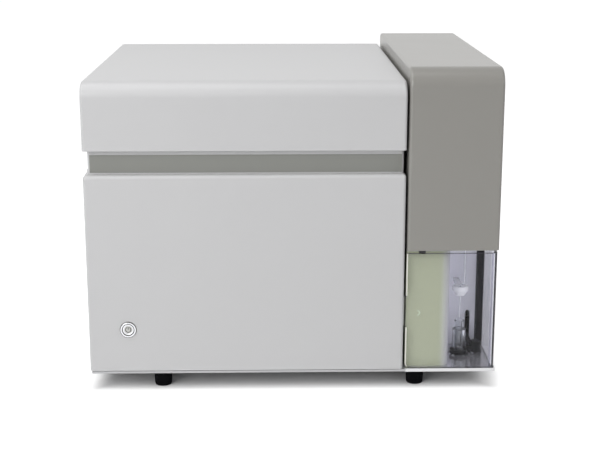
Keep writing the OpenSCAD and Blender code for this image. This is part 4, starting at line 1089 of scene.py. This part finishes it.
@dataclass
class SampleDoor(Assembly):
    """Clear L-shaped door with a finger tab, on its black pivot bar.

    Attributes:
        plate: Thickness of the plate.
        corner: Outer radius of the bent corner.
        corner_faces: Faces across that corner.
        tab_low: Lower end of the finger tab.
        tab_high: Upper end of the finger tab.
        tab_out: How far the tab stands out.
        foot_corner: Radius of the lower free corner.
        chevron_tip: Where the arrow mark that shows where to pull has its tip: its x and its z.
        chevron: Height of the arrow mark.
        chevron_stroke: Width of its strokes.
        chevron_rise: How far they stand out.
        bevel: Width of the bevel on the free edge, which takes a painted highlight.
    """

    plate: float = 4.0 * MM
    corner: float = 9.0 * MM
    corner_faces: int = 14
    tab_low: float = 85.0 * MM
    tab_high: float = 128.0 * MM
    tab_out: float = 2.5 * MM
    foot_corner: float = 6.0 * MM
    chevron_tip: tuple[float, float] = (0.1679, 0.1048)
    chevron: float = 7.0 * MM
    chevron_stroke: float = 1.3 * MM
    chevron_rise: float = 0.12 * MM
    bevel: float = 1.5 * MM

    def build(self) -> None:
        """Models the door's pieces."""
        self.panel()
        self.arrow()
        self.refine("door_pivot_bar", 0.4 * MM)

    def panel(self) -> None:
        """Models the bent plate and its tab, with painted shade on its side, bend and cut edges and a painted
        highlight on its bevel.
        """
        low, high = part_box("sample_door")
        edge = low.x + self.tab_out
        door = Workpiece.block("door_panel", (edge, low.y, low.z), high)
        door.round_edges(edge_on((Axis.X, high.x), (Axis.Y, low.y)), self.corner,
                         self.corner_faces)
        door.open_at((Axis.Z, 1), (Axis.Z, -1), (Axis.Y, 1), (Axis.X, -1)).wall(self.plate)
        for height in (self.tab_low, self.tab_high):
            door.slice_at((0.0, 0.0, height), (0.0, 0.0, 1.0))
        with door.editing():
            door.pick_faces(lambda centre, normal: normal.x < -STRAIGHT and at(centre.x, edge)
                            and self.tab_low < centre.z < self.tab_high)
            extrude((-self.tab_out, 0.0, 0.0))
        on_tab, on_edge = edge_on((Axis.X, low.x)), edge_on((Axis.X, edge), (Axis.Y, low.y))
        door.round_edges(lambda start, end: on_tab(start, end) and at(start.z, end.z), self.tab_out * 0.9, 5)
        door.round_edges(lambda start, end: on_edge(start, end)
                         and not self.tab_low - NEAR < (start.z + end.z) / 2 < self.tab_high + NEAR,
                         self.bevel, 1)
        door.round_edges(lambda start, end: all(at(point.z, low.z) and point.x < edge + self.bevel + NEAR
                                                for point in (start, end)), self.foot_corner, MEDIUM_ROUND)
        door.soften(0.25 * MM, 2, 50.0)
        door.dress(self.shop, "smoked_acrylic", "door", "sample_door", smooth=30.0)
        for slot, test in (
            # Painted shade: a darker copy on the side plate.
            ("smoked_side_shade", lambda centre, normal: abs(normal.x) > 0.9
             and centre.x > high.x - self.plate - NEAR),
            # Painted shade: a darker copy on the bent corner.
            ("smoked_bend_shade", lambda centre, normal: centre.x > high.x - self.corner
             and centre.y < low.y + self.corner and min(abs(normal.x), abs(normal.y)) > 0.1),
            # Painted highlight: near-white on the bevel of the free edge.
            ("bevel_highlight", lambda _, normal: normal.x < -0.5 and normal.y < -0.5),
            # Painted shade: dark top, bottom and rear edges.
            ("edge_shade", lambda centre, normal: abs(normal.z) > 0.7
             or normal.y > 0.7 and centre.y > high.y - MM),
        ):
            door.paint(self.shop, slot, test)

    def arrow(self) -> None:
        """Models the thin arrow mark on the door's front, two strokes that meet."""
        low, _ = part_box("sample_door")
        tip_x, tip_z = self.chevron_tip
        reach, half = self.chevron / 2, self.chevron_stroke / 2
        arms = []
        for rise in (-reach, reach):
            arm = Workpiece.block("mark_arm", (tip_x - reach, low.y - self.chevron_rise, tip_z - half),
                                  (tip_x, low.y, tip_z + half))
            with arm.editing():
                arm.pick_faces(facing(Axis.X, -1))
                bpy.ops.transform.translate(value=(0.0, 0.0, rise))
            arms.append(arm)
        arms[0].unite(arms[1]).dress(self.shop, "mark_white", "door", record_slot="smoked_acrylic")


@dataclass
class PowerSwitch(Assembly):
    """Push-button in the front panel: polished bezel, button with its mark, and switch body.

    Attributes:
        flange: Radius of the bezel.
        proud: Height of the bezel before the panel.
        barrel: Radius of the threaded barrel.
        bore: Radius of the bezel's bore.
        sides: Sides of the turned pieces.
        stem: Radius of the button's stem.
        dish: Depth of the button's face below its rim.
        dark_edge: Width of the dark edges of bezel and button: painted reflection outside, painted shade at
            the gap.
        mark_radius: Middle radius of the power mark's ring.
        mark_stroke: Width of the mark's lines.
        mark_rise: How far the mark stands proud.
        mark_gap: Width of the gap at the ring's top.
    """

    flange: float = 11.0 * MM
    proud: float = 1.5 * MM
    barrel: float = 9.5 * MM
    bore: float = 8.0 * MM
    sides: int = 96
    stem: float = 3.5 * MM
    dish: float = 0.5 * MM
    dark_edge: float = 0.6 * MM
    mark_radius: float = 3.5 * MM
    mark_stroke: float = 0.95 * MM
    mark_rise: float = 0.05 * MM
    mark_gap: float = 2.6 * MM

    def build(self) -> None:
        """Models the button's pieces."""
        self.bezel()
        self.button()
        self.mark()
        self.refine("button_switch", 0.3 * MM)

    def bezel(self) -> None:
        """Models the bezel with its threaded barrel and its hexagonal nut."""
        low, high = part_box("button_bezel")
        middle = (low + high) / 2
        flange, barrel, bore, proud = self.flange, self.barrel, self.bore, self.proud
        length = high.y - low.y
        thread = [(-0.35 * dip, 3.5 + 0.5 * step) for step, dip in enumerate((0, 1) * 10)]
        bezel = Workpiece.turned("bezel_ring", (middle.x, low.y, middle.z), [
            *stations(bore, 0.0, (-0.5, 0.6), (0.3, 0.1)),
            *stations(flange, 0.0, (-1.6, 0.0), (-0.8, 0.18), (-0.3, 0.5), (0.0, 0.95)), (flange, proud),
            (barrel, proud), *stations(barrel, proud, *thread), (barrel, length)], Axis.Y, self.sides)
        bezel.drill((middle.x, low.y - proud, middle.z), bore, length + 2 * proud, Axis.Y, self.sides)
        nut = Workpiece.turned("barrel_nut", (middle.x, low.y + proud + 3.0 * MM, middle.z),
                               stations(0.0, 0.0, (11.9, 0.0), (13.0, 0.5), (13.0, 2.5), (11.9, 3.0)),
                               Axis.Y, 6)
        nut.drill((middle.x, low.y, middle.z), barrel, length, Axis.Y, self.sides)
        bezel.join(nut).dress(self.shop, "bright_steel", "instrument", "button_bezel")

        def near_rim(centre: Vector, _: Vector) -> bool:
            """Whether a face of the flange lies at its outer or its inner edge."""
            inner, outer = bore + self.dark_edge / 2, flange - self.dark_edge
            return centre.y < low.y + proud and not inner < off_axis(centre, middle) < outer

        # Painted dark reflection on the flange's outer edge and painted shade at its inner edge, by the gap
        # round the button.
        bezel.paint(self.shop, "dark_reflection_and_gap_shade", near_rim)

    def button(self) -> None:
        """Models the moving button with its rolled rim and its stem."""
        low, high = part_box("power_button")
        middle = (low + high) / 2
        rim, cap = (high.x - low.x) / 2, 6.0 * MM
        button = Workpiece.turned("button_cap", (middle.x, low.y, middle.z), [
            (rim - 2.4 * MM, self.dish), *stations(rim, 0.0, (-2.1, 0.35), (-1.8, 0.06), (-1.2, 0.0),
                                                   (-0.5, 0.08), (-0.1, 0.35), (0.0, 0.8)),
            (rim, cap), (self.stem, cap), (self.stem, high.y - low.y)], Axis.Y, self.sides)
        button.dress(self.shop, "aluminium", "button", "power_button", smooth=50.0)
        dark_from, face_to = rim - 0.4 * MM, rim - 2.2 * MM
        # Painted shade: the button's rim, in the gap inside the bezel, is dark.
        button.paint(self.shop, "dark_reflection_and_gap_shade", lambda centre, _: off_axis(centre, middle) > dark_from)
        button.paint(self.shop, "button_face",
                     lambda centre, normal: normal.y < -0.9 and off_axis(centre, middle) < face_to)

    def mark(self) -> None:
        """Models the printed power mark: a ring open at its top, with an upright stroke in the gap."""
        low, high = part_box("power_button")
        middle = (low + high) / 2
        face, rise = low.y + self.dish, self.mark_rise
        half_gap, half_stroke = self.mark_gap / 2, self.mark_stroke / 2
        outer = self.mark_radius + half_stroke
        ring = Workpiece.turned("mark_ring", (middle.x, face - rise, middle.z),
                                [(outer, 0.0), (outer, rise)], Axis.Y, 64)
        ring.drill((middle.x, face - 2 * rise, middle.z), outer - self.mark_stroke, 4 * rise, Axis.Y)
        ring.cut(Workpiece.block("gap_cutter", (middle.x - half_gap, face - MM, middle.z),
                                 (middle.x + half_gap, face + MM, middle.z + 2 * outer)))
        stroke = Workpiece.block("mark_stroke", (middle.x - half_stroke, face - rise, middle.z),
                                 (middle.x + half_stroke, face, middle.z + outer))
        stroke.round_edges(running(Axis.Y), half_stroke * 0.9, 4)
        ring.join(stroke).dress(self.shop, "mark_grey", "button", record_slot="aluminium")


@dataclass
class Feet(Assembly):
    """Four rubber feet under the base tray.

    Attributes:
        radius: Radius of a foot.
        stem: Radius of its stud.
        toe: Width of the slope at the foot's tread.
        tread_recess: Radius of the recess for the fixing screw.
    """

    radius: float = 12.5 * MM
    stem: float = 3.0 * MM
    toe: float = 1.5 * MM
    tread_recess: float = 6.2 * MM

    def build(self) -> None:
        """Models one foot and copies it to the other three corners."""
        low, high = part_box("feet")
        tray_low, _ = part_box("base_tray")
        radius, stem, recess, height = self.radius, self.stem, self.tread_recess, tray_low.z
        foot = Workpiece.turned("foot", (low.x + radius, low.y + radius, 0.0), [
            (1.5 * MM, 4.5 * MM), *stations(recess, 0.0, (-1.0, 4.0), (0.0, 3.0), (0.0, 0.3), (0.4, 0.0)),
            *stations(radius - self.toe, 0.0, (-1.2, 0.0), (-0.4, 0.3), (0.0, 1.1), (0.3, 2.2)),
            *stations(radius, height, (-0.5, -5.0), (-0.15, -3.4), (0.0, -2.4), (0.0, -0.6), (-0.3, -0.1),
                      (-0.8, 0.0)), (stem, height), (stem, high.z)], Axis.Z, 72)
        foot.repeat(2, (high.x - low.x - 2 * radius, 0.0, 0.0))
        foot.repeat(2, (0.0, high.y - low.y - 2 * radius, 0.0))
        foot.dress(self.shop, "rubber", "instrument", "feet", smooth=50.0)


@dataclass
class SampleStation(Assembly):
    """What hangs and stands in the bay: wash station, probe, tube, its holder and the lift arm.

    Attributes:
        needle: Radius of the probe tube.
        bend: Radius of the probe's two bends.
        wash_cone: Height of the wash ring's cone.
        tube: Outer radius of the sample tube.
        tube_wall: Wall of the sample tube.
        bowl_steps: Stations of its round bottom.
        holder_gap: Gap between the tube and its holder.
        holder_floor: Thickness of the holder's floor.
    """

    needle: float = 0.8 * MM
    bend: float = 2.4 * MM
    wash_cone: float = 6.0 * MM
    tube: float = 6.0 * MM
    tube_wall: float = 1.0 * MM
    bowl_steps: int = 8
    holder_gap: float = 0.2 * MM
    holder_floor: float = 2.0 * MM

    def build(self) -> None:
        """Models the station's pieces."""
        self.wash_station()
        self.probe()
        self.tube_holder()
        self.sample_tube()
        self.refine("lift_carriage", 0.5 * MM)
        for node in ("lift_frame", "lift_motor", "lift_screw"):
            self.refine(node, 0.3 * MM)

    def wash_station(self) -> None:
        """Models the wash ring with its rounded collar, its cone and the bracket to the wall."""
        low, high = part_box("wash_station")
        holder_low, holder_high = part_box("tube_holder")
        axis = (holder_low + holder_high) / 2
        radius, depth, cone = (high.x - low.x) / 2, high.z - low.z, self.wash_cone
        ring = Workpiece.turned("wash_ring", (axis.x, axis.y, low.z), [
            (0.60 * radius, 0.0), (0.62 * radius, 0.3 * MM), (0.80 * radius, cone - 0.4 * MM),
            (0.84 * radius, cone), *stations(radius, cone, (-0.8, 0.0), (-0.2, 0.3), (0.0, 1.0)),
            *stations(radius, depth, (0.0, -1.6), (-0.3, -0.6), (-1.0, -0.1), (-1.8, 0.0)),
            (0.62 * radius, depth), (0.55 * radius, depth - 0.3 * MM), (0.50 * radius, depth - 1.2 * MM),
            (0.46 * radius, depth - 1.6 * MM)], Axis.Z, 80)
        ring.drill((axis.x, axis.y, low.z - MM), 1.1 * MM, depth + 2 * MM, Axis.Z, 24)
        half_arm = 4.0 * MM
        arm = Workpiece.block("wash_arm",
                              (axis.x - half_arm, axis.y + radius - 2.0 * MM, low.z + cone + 1.0 * MM),
                              (axis.x + half_arm, high.y, high.z - 1.0 * MM))
        ring.unite(arm).soften(0.25 * MM, 2, 50.0)
        ring.dress(self.shop, "frosted_clear", "instrument", "wash_station", smooth=45.0,
                   record_slot="clear_acrylic")

    def probe(self) -> None:
        """Models the probe: down from the shelf, across above the wash ring and down into it."""
        low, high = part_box("sample_probe")
        holder_low, holder_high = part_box("tube_holder")
        axis_y = (holder_low.y + holder_high.y) / 2
        turn_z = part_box("wash_station")[1].z + 0.5 * MM + self.needle
        line_x, tip_x = high.x - self.needle, low.x + self.needle
        route = bent_route([(line_x, axis_y, high.z), (line_x, axis_y, turn_z), (tip_x, axis_y, turn_z),
                            (tip_x, axis_y, low.z)], self.bend)
        probe = Workpiece.piped("probe_tube", route, self.needle)
        probe.dress(self.shop, "bright_steel", "instrument", "sample_probe", smooth=60.0)

    def tube_holder(self) -> None:
        """Models the clear cup that the sample tube stands in."""
        low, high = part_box("tube_holder")
        middle = (low + high) / 2
        outer, height = (high.x - low.x) / 2, high.z - low.z
        bore, floor = self.tube + self.holder_gap, self.holder_floor
        holder = Workpiece.turned("holder_cup", (middle.x, middle.y, low.z), [
            *stations(outer, 0.0, (-1.2, 0.0), (-0.5, 0.2), (0.0, 0.9)),
            *stations(outer, height, (0.0, -1.0), (-0.3, -0.3), (-1.0, 0.0)),
            *stations(bore, height, (1.0, 0.0), (0.2, -0.4), (0.0, -1.2)), (bore, floor + 4.0 * MM),
            (0.86 * bore, floor + 1.7 * MM), (0.5 * bore, floor + 0.3 * MM), (0.15 * bore, floor)],
            Axis.Z, 80)
        holder.dress(self.shop, "clear_acrylic", "lift", "tube_holder", smooth=50.0)

    def sample_tube(self) -> None:
        """Models the round-bottomed tube with its rim."""
        low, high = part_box("sample_tube")
        middle = (low + high) / 2
        radius, inner = self.tube, self.tube - self.tube_wall
        height, lip = high.z - low.z, (high.x - low.x) / 2
        turns = [step * math.pi / 2 / self.bowl_steps for step in range(1, self.bowl_steps + 1)]
        bowl = [(radius * math.sin(turn), radius * (1 - math.cos(turn))) for turn in turns]
        hollow = [(inner * math.sin(turn), radius - inner * math.cos(turn)) for turn in reversed(turns)]
        rim = [(radius, height - 2.4 * MM), *stations(lip, height, (-0.2, -2.0), (0.0, -1.2), (-0.2, -0.3)),
               (radius, height), *stations(inner, height, (0.3, 0.0), (0.0, -0.4))]
        tube = Workpiece.turned("tube_wall", (middle.x, middle.y, low.z), bowl + rim + hollow, Axis.Z, 72)
        tube.dress(self.shop, "clear_acrylic", "lift", "sample_tube", smooth=50.0)


@dataclass
class OpticalBench(Assembly):
    """Bench plate on its frame with lasers, mirrors, flow cell and detectors.

    Attributes:
        edge: Width of the softened edges of machined pieces.
        beam_height: Height of the laser beams, where the mirrors' coated faces are.
    """

    edge: float = 0.5 * MM
    beam_height: float = 0.268

    def build(self) -> None:
        """Models the bench's pieces, among them the mirror mounts with their coated faces."""
        for node in ("bench_frame", "bench_isolators", "optical_bench", "violet_laser", "blue_laser",
                     "red_laser", "flow_cell_block", "detector_modules"):
            self.refine(node, self.edge)
        self.refine("flow_cell", 0.15 * MM)
        mounts = self.refine("beam_mirrors", 0.3 * MM, "mirror_mounts")

        def coated(centre: Vector, normal: Vector) -> bool:
            """Whether a face is the front of a mirror disc: upright, aslant and at beam height."""
            slack = 0.01
            return (abs(abs(normal.x) - abs(normal.y)) < slack and abs(normal.z) < slack
                    and abs(centre.z - self.beam_height) < 0.5 * MM)

        mounts.paint(self.shop, "mirror_coat", coated)
        self.refine("lens_barrels", 0.3 * MM, "lens_tubes")
        self.smooth_tubes("optical_fibres")


@dataclass
class Electronics(Assembly):
    """Main board, power supply, mains inlet, data ports and fans.

    Attributes:
        standoff: Height of the board's stand-offs.
        board_thick: Thickness of the bare board.
        capacitor: Height above the board from which a face is a capacitor's top.
        pin_pitch: Distance between the mains inlet's contact pins.
        pin_height: Height of its middle pin.
    """

    standoff: float = 8.0 * MM
    board_thick: float = 1.6 * MM
    capacitor: float = 15.0 * MM
    pin_pitch: float = 7.0 * MM
    pin_height: float = 0.055

    def build(self) -> None:
        """Models the electronics' pieces."""
        self.board()
        self.inlet()
        self.ports()
        for node, width in (("power_supply", 0.4), ("fan_frames", 0.4), ("fan_guards", 0.35)):
            self.refine(node, width * MM)
        for node in ("fan_rotor_left", "fan_rotor_right"):
            self.refine(node, 0.0, smooth=32.0)

    def board(self) -> None:
        """Models the populated board: black parts, bright capacitor tops and plated metal under it."""
        low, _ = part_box("main_board")
        under, clearance = low.z + self.standoff, 0.2 * MM
        top = under + self.board_thick
        board = self.refine("main_board", 0.25 * MM, "populated_board", segments=1)
        board.paint(self.shop, "black_plastic", lambda centre, _: centre.z > top + clearance)
        board.paint(self.shop, "aluminium",
                    lambda centre, normal: centre.z > top + self.capacitor and normal.z > 0.9)
        board.paint(self.shop, "plated_steel", lambda centre, _: centre.z < under - clearance)

    def inlet(self) -> None:
        """Models the mains inlet with its bright contact pins and its switch."""
        low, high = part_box("power_inlet")
        middle_x = (low.x + high.x) / 2
        half_pin, outer_drop = Vector((1.05, 2.0, 2.1)) * MM, 3.0 * MM

        def on_pin(centre: Vector, _: Vector) -> bool:
            """Whether a face belongs to one of the three contact pins."""
            return centre.y < high.y - half_pin.y and any(
                abs(centre.x - middle_x - side * self.pin_pitch) < half_pin.x
                and abs(centre.z - self.pin_height + abs(side) * outer_drop) < half_pin.z
                for side in (-1, 0, 1))

        self.refine("power_inlet", 0.3 * MM, "mains_socket").paint(self.shop, "bright_steel", on_pin)

    def ports(self) -> None:
        """Models the data ports, dark inside."""
        low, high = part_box("data_ports")
        ports = self.refine("data_ports", 0.25 * MM, "port_shells")
        ports.paint(self.shop, "black_plastic",
                    lambda centre, normal: normal.y > 0.9 and low.y + MM < centre.y < high.y - 2.0 * MM)


@dataclass
class Fluidics(Assembly):
    """Sheath pump, filter, valves, sample pump, ports and tubing.

    Attributes:
        valve_base: Height of the metal block below the valves' black tops.
    """

    valve_base: float = 26.5 * MM

    def build(self) -> None:
        """Models the fluidics' pieces."""
        for node, width in (("sheath_pump", 0.5), ("sheath_filter", 0.4), ("fluid_ports", 0.2),
                            ("sample_pump", 0.5), ("pump_rotor", 0.3), ("tower_frame", 0.3)):
            self.refine(node, width * MM)
        low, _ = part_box("valve_block")
        valves = self.refine("valve_block", 0.4 * MM, "valve_manifold")
        valves.paint(self.shop, "black_plastic", lambda centre, _: centre.z > low.z + self.valve_base)
        self.smooth_tubes("fluid_tubing")


def bent_route(corners: list[Point], bend: float, steps: int = 6) -> list[Vector]:
    """Rounds the corners of a route for a bent tube.

    Args:
        corners: The route's ends and corners in order.
        bend: Radius of each bend.
        steps: Points across a bend.

    Returns:
        The route's points.
    """
    points = [Vector(corner) for corner in corners]
    route = [points[0]]
    for before, corner, after in zip(points, points[1:], points[2:]):
        start = corner + (before - corner).normalized() * bend
        end = corner + (after - corner).normalized() * bend
        centre = start + end - corner
        for step in range(steps + 1):
            turn = step / steps * math.pi / 2
            route.append(centre + (start - centre) * math.cos(turn) + (end - centre) * math.sin(turn))
    return [*route, points[-1]]


@dataclass
class Studio:
    """Pale floor, even light and the camera.

    Attributes:
        camera_at: Where the camera stands.
        pitch: How far it looks down, in radians.
        yaw: How far it is turned towards +X, in radians.
        lens: Focal length on the sensor, in millimetres.
        sensor: Width of the sensor, in millimetres.
        aim: Where the lamps point.
        surround: Strength of the surround's light.
        seen_surround: Its strength where it is seen.
        floor_half: Half the floor's width.
        floor_tone: The floor's colour.
        glow: Strength of the floor's own white, where it is seen.
        glow_margin: Half the width over which that white starts, round the object's foot.
    """

    camera_at: Point = (-0.02426, -1.84494, 0.62145)
    pitch: float = 0.2421
    yaw: float = 0.0207
    lens: float = 76.5
    sensor: float = 36.0
    aim: Point = (0.0, 0.0, 0.2)
    surround: float = 0.15
    seen_surround: float = 1.0
    floor_half: float = 12.0
    floor_tone: Rgb = (0.80, 0.80, 0.80)
    glow: float = 0.9
    glow_margin: float = 0.03

    def build(self) -> None:
        """Builds floor, lamps, world and camera."""
        bpy.context.scene.view_settings.view_transform = "Standard"
        self._camera()
        self._world()
        self._floor()
        self._lamp("key_lamp", (-1.5, -2.4, 1.35), 1.6, 39.5)
        self._lamp("top_lamp", (-0.7, -0.5, 2.5), 1.8, 27.0)
        self._lamp("side_lamp", (2.4, -1.2, 1.2), 1.2, 10.0)

    @staticmethod
    def _stand(name: str, data: bpy.types.ID, place: Point) -> bpy.types.Object:
        """Puts a camera or a lamp in its place."""
        stand = bpy.data.objects.new(name, data)
        stand.location = place
        bpy.context.scene.collection.objects.link(stand)
        return stand

    def _camera(self) -> None:
        """Adds the camera."""
        data = bpy.data.cameras.new("camera")
        data.lens = self.lens
        data.sensor_width = self.sensor
        camera = self._stand("camera", data, self.camera_at)
        camera.rotation_euler = (math.pi / 2 - self.pitch, 0.0, -self.yaw)
        bpy.context.scene.camera = camera

    def _lamp(self, name: str, place: Point, size: float, power: float) -> None:
        """Adds a square soft lamp that faces the object's middle.

        Args:
            name: The lamp's name.
            place: Where it stands.
            size: Its side.
            power: Its power in watts.
        """
        data = bpy.data.lights.new(name, "AREA")
        data.shape = "SQUARE"
        data.size = size
        data.energy = power
        aim = Vector(self.aim) - Vector(place)
        self._stand(name, data, place).rotation_euler = aim.to_track_quat("-Z", "Y").to_euler()

    @staticmethod
    def _seen(graph: Graph) -> bpy.types.NodeSocket:
        """1 where the camera sees a surface, straight, mirrored or through glass."""
        ray = graph.node("LightPath").outputs
        straight = graph.calculate("MAXIMUM", ray["Is Camera Ray"], ray["Is Glossy Ray"])
        return graph.calculate("MAXIMUM", straight, ray["Is Transmission Ray"])

    def _world(self) -> None:
        """Adds a white surround that lights the object evenly."""
        world = bpy.data.worlds.new("surround")
        world.use_nodes = True
        graph = Graph(world.node_tree)
        strength = graph.mix(self._seen(graph), self.surround, self.seen_surround, "FLOAT")
        graph.feed(graph.tree.nodes["Background"], {"Color": WHITE, "Strength": strength})
        bpy.context.scene.world = world

    def _floor(self) -> None:
        """Adds a white floor that keeps the object's shadow."""
        deselect()
        bpy.ops.mesh.primitive_plane_add(size=2 * self.floor_half)
        floor = bpy.context.object
        floor.name = "floor"
        material = bpy.data.materials.new("floor_white")
        material.use_nodes = True
        graph = Graph(material.node_tree)
        glow = graph.calculate("MULTIPLY", self._seen(graph), self._clear_of_object(graph))
        graph.feed(graph.tree.nodes["Principled BSDF"], {
            "Base Color": self.floor_tone, "Roughness": 0.9, "Specular IOR Level": 0.0,
            "Emission Color": WHITE, "Emission Strength": glow,
        })
        floor.data.materials.append(material)

    def _clear_of_object(self, graph: Graph) -> bpy.types.NodeSocket:
        """The floor's own glow: none under the object, so that its shadow stays, and full around it.

        Args:
            graph: The floor's graph.

        Returns:
            The socket that gives the glow.
        """
        _, high = cad_box
        half = graph.node("VectorMath", {0: graph.place()}, operation="ABSOLUTE")
        past = graph.node("VectorMath", {0: half.outputs[0], 1: (high.x, high.y, 0.0)}, operation="SUBTRACT")
        parts = graph.node("SeparateXYZ", {0: past.outputs[0]}).outputs
        farther = graph.calculate("MAXIMUM", parts["X"], parts["Y"])
        return graph.ramp(farther, -self.glow_margin, self.glow_margin, high=self.glow, kind="SMOOTHSTEP")


def dress_nodes(shop: FinishShop) -> None:
    """Gives every frame node the material of its slot."""
    for name, node in frame["nodes"].items():
        node.data.materials.clear()
        node.data.materials.append(shop[SLOTS[name]])


def main() -> None:
    """Builds the instrument's pieces in order."""
    logging.basicConfig(level=logging.INFO, format="%(name)s: %(message)s")
    shop = FinishShop(EffectGroups())
    dress_nodes(shop)
    for assembly in (Cabinet, PowerSwitch, Feet, Tower, SampleDoor, SampleStation, OpticalBench, Electronics,
                     Fluidics):
        assembly(shop).build()
    Studio().build()


if __name__ == "__main__":
    main()
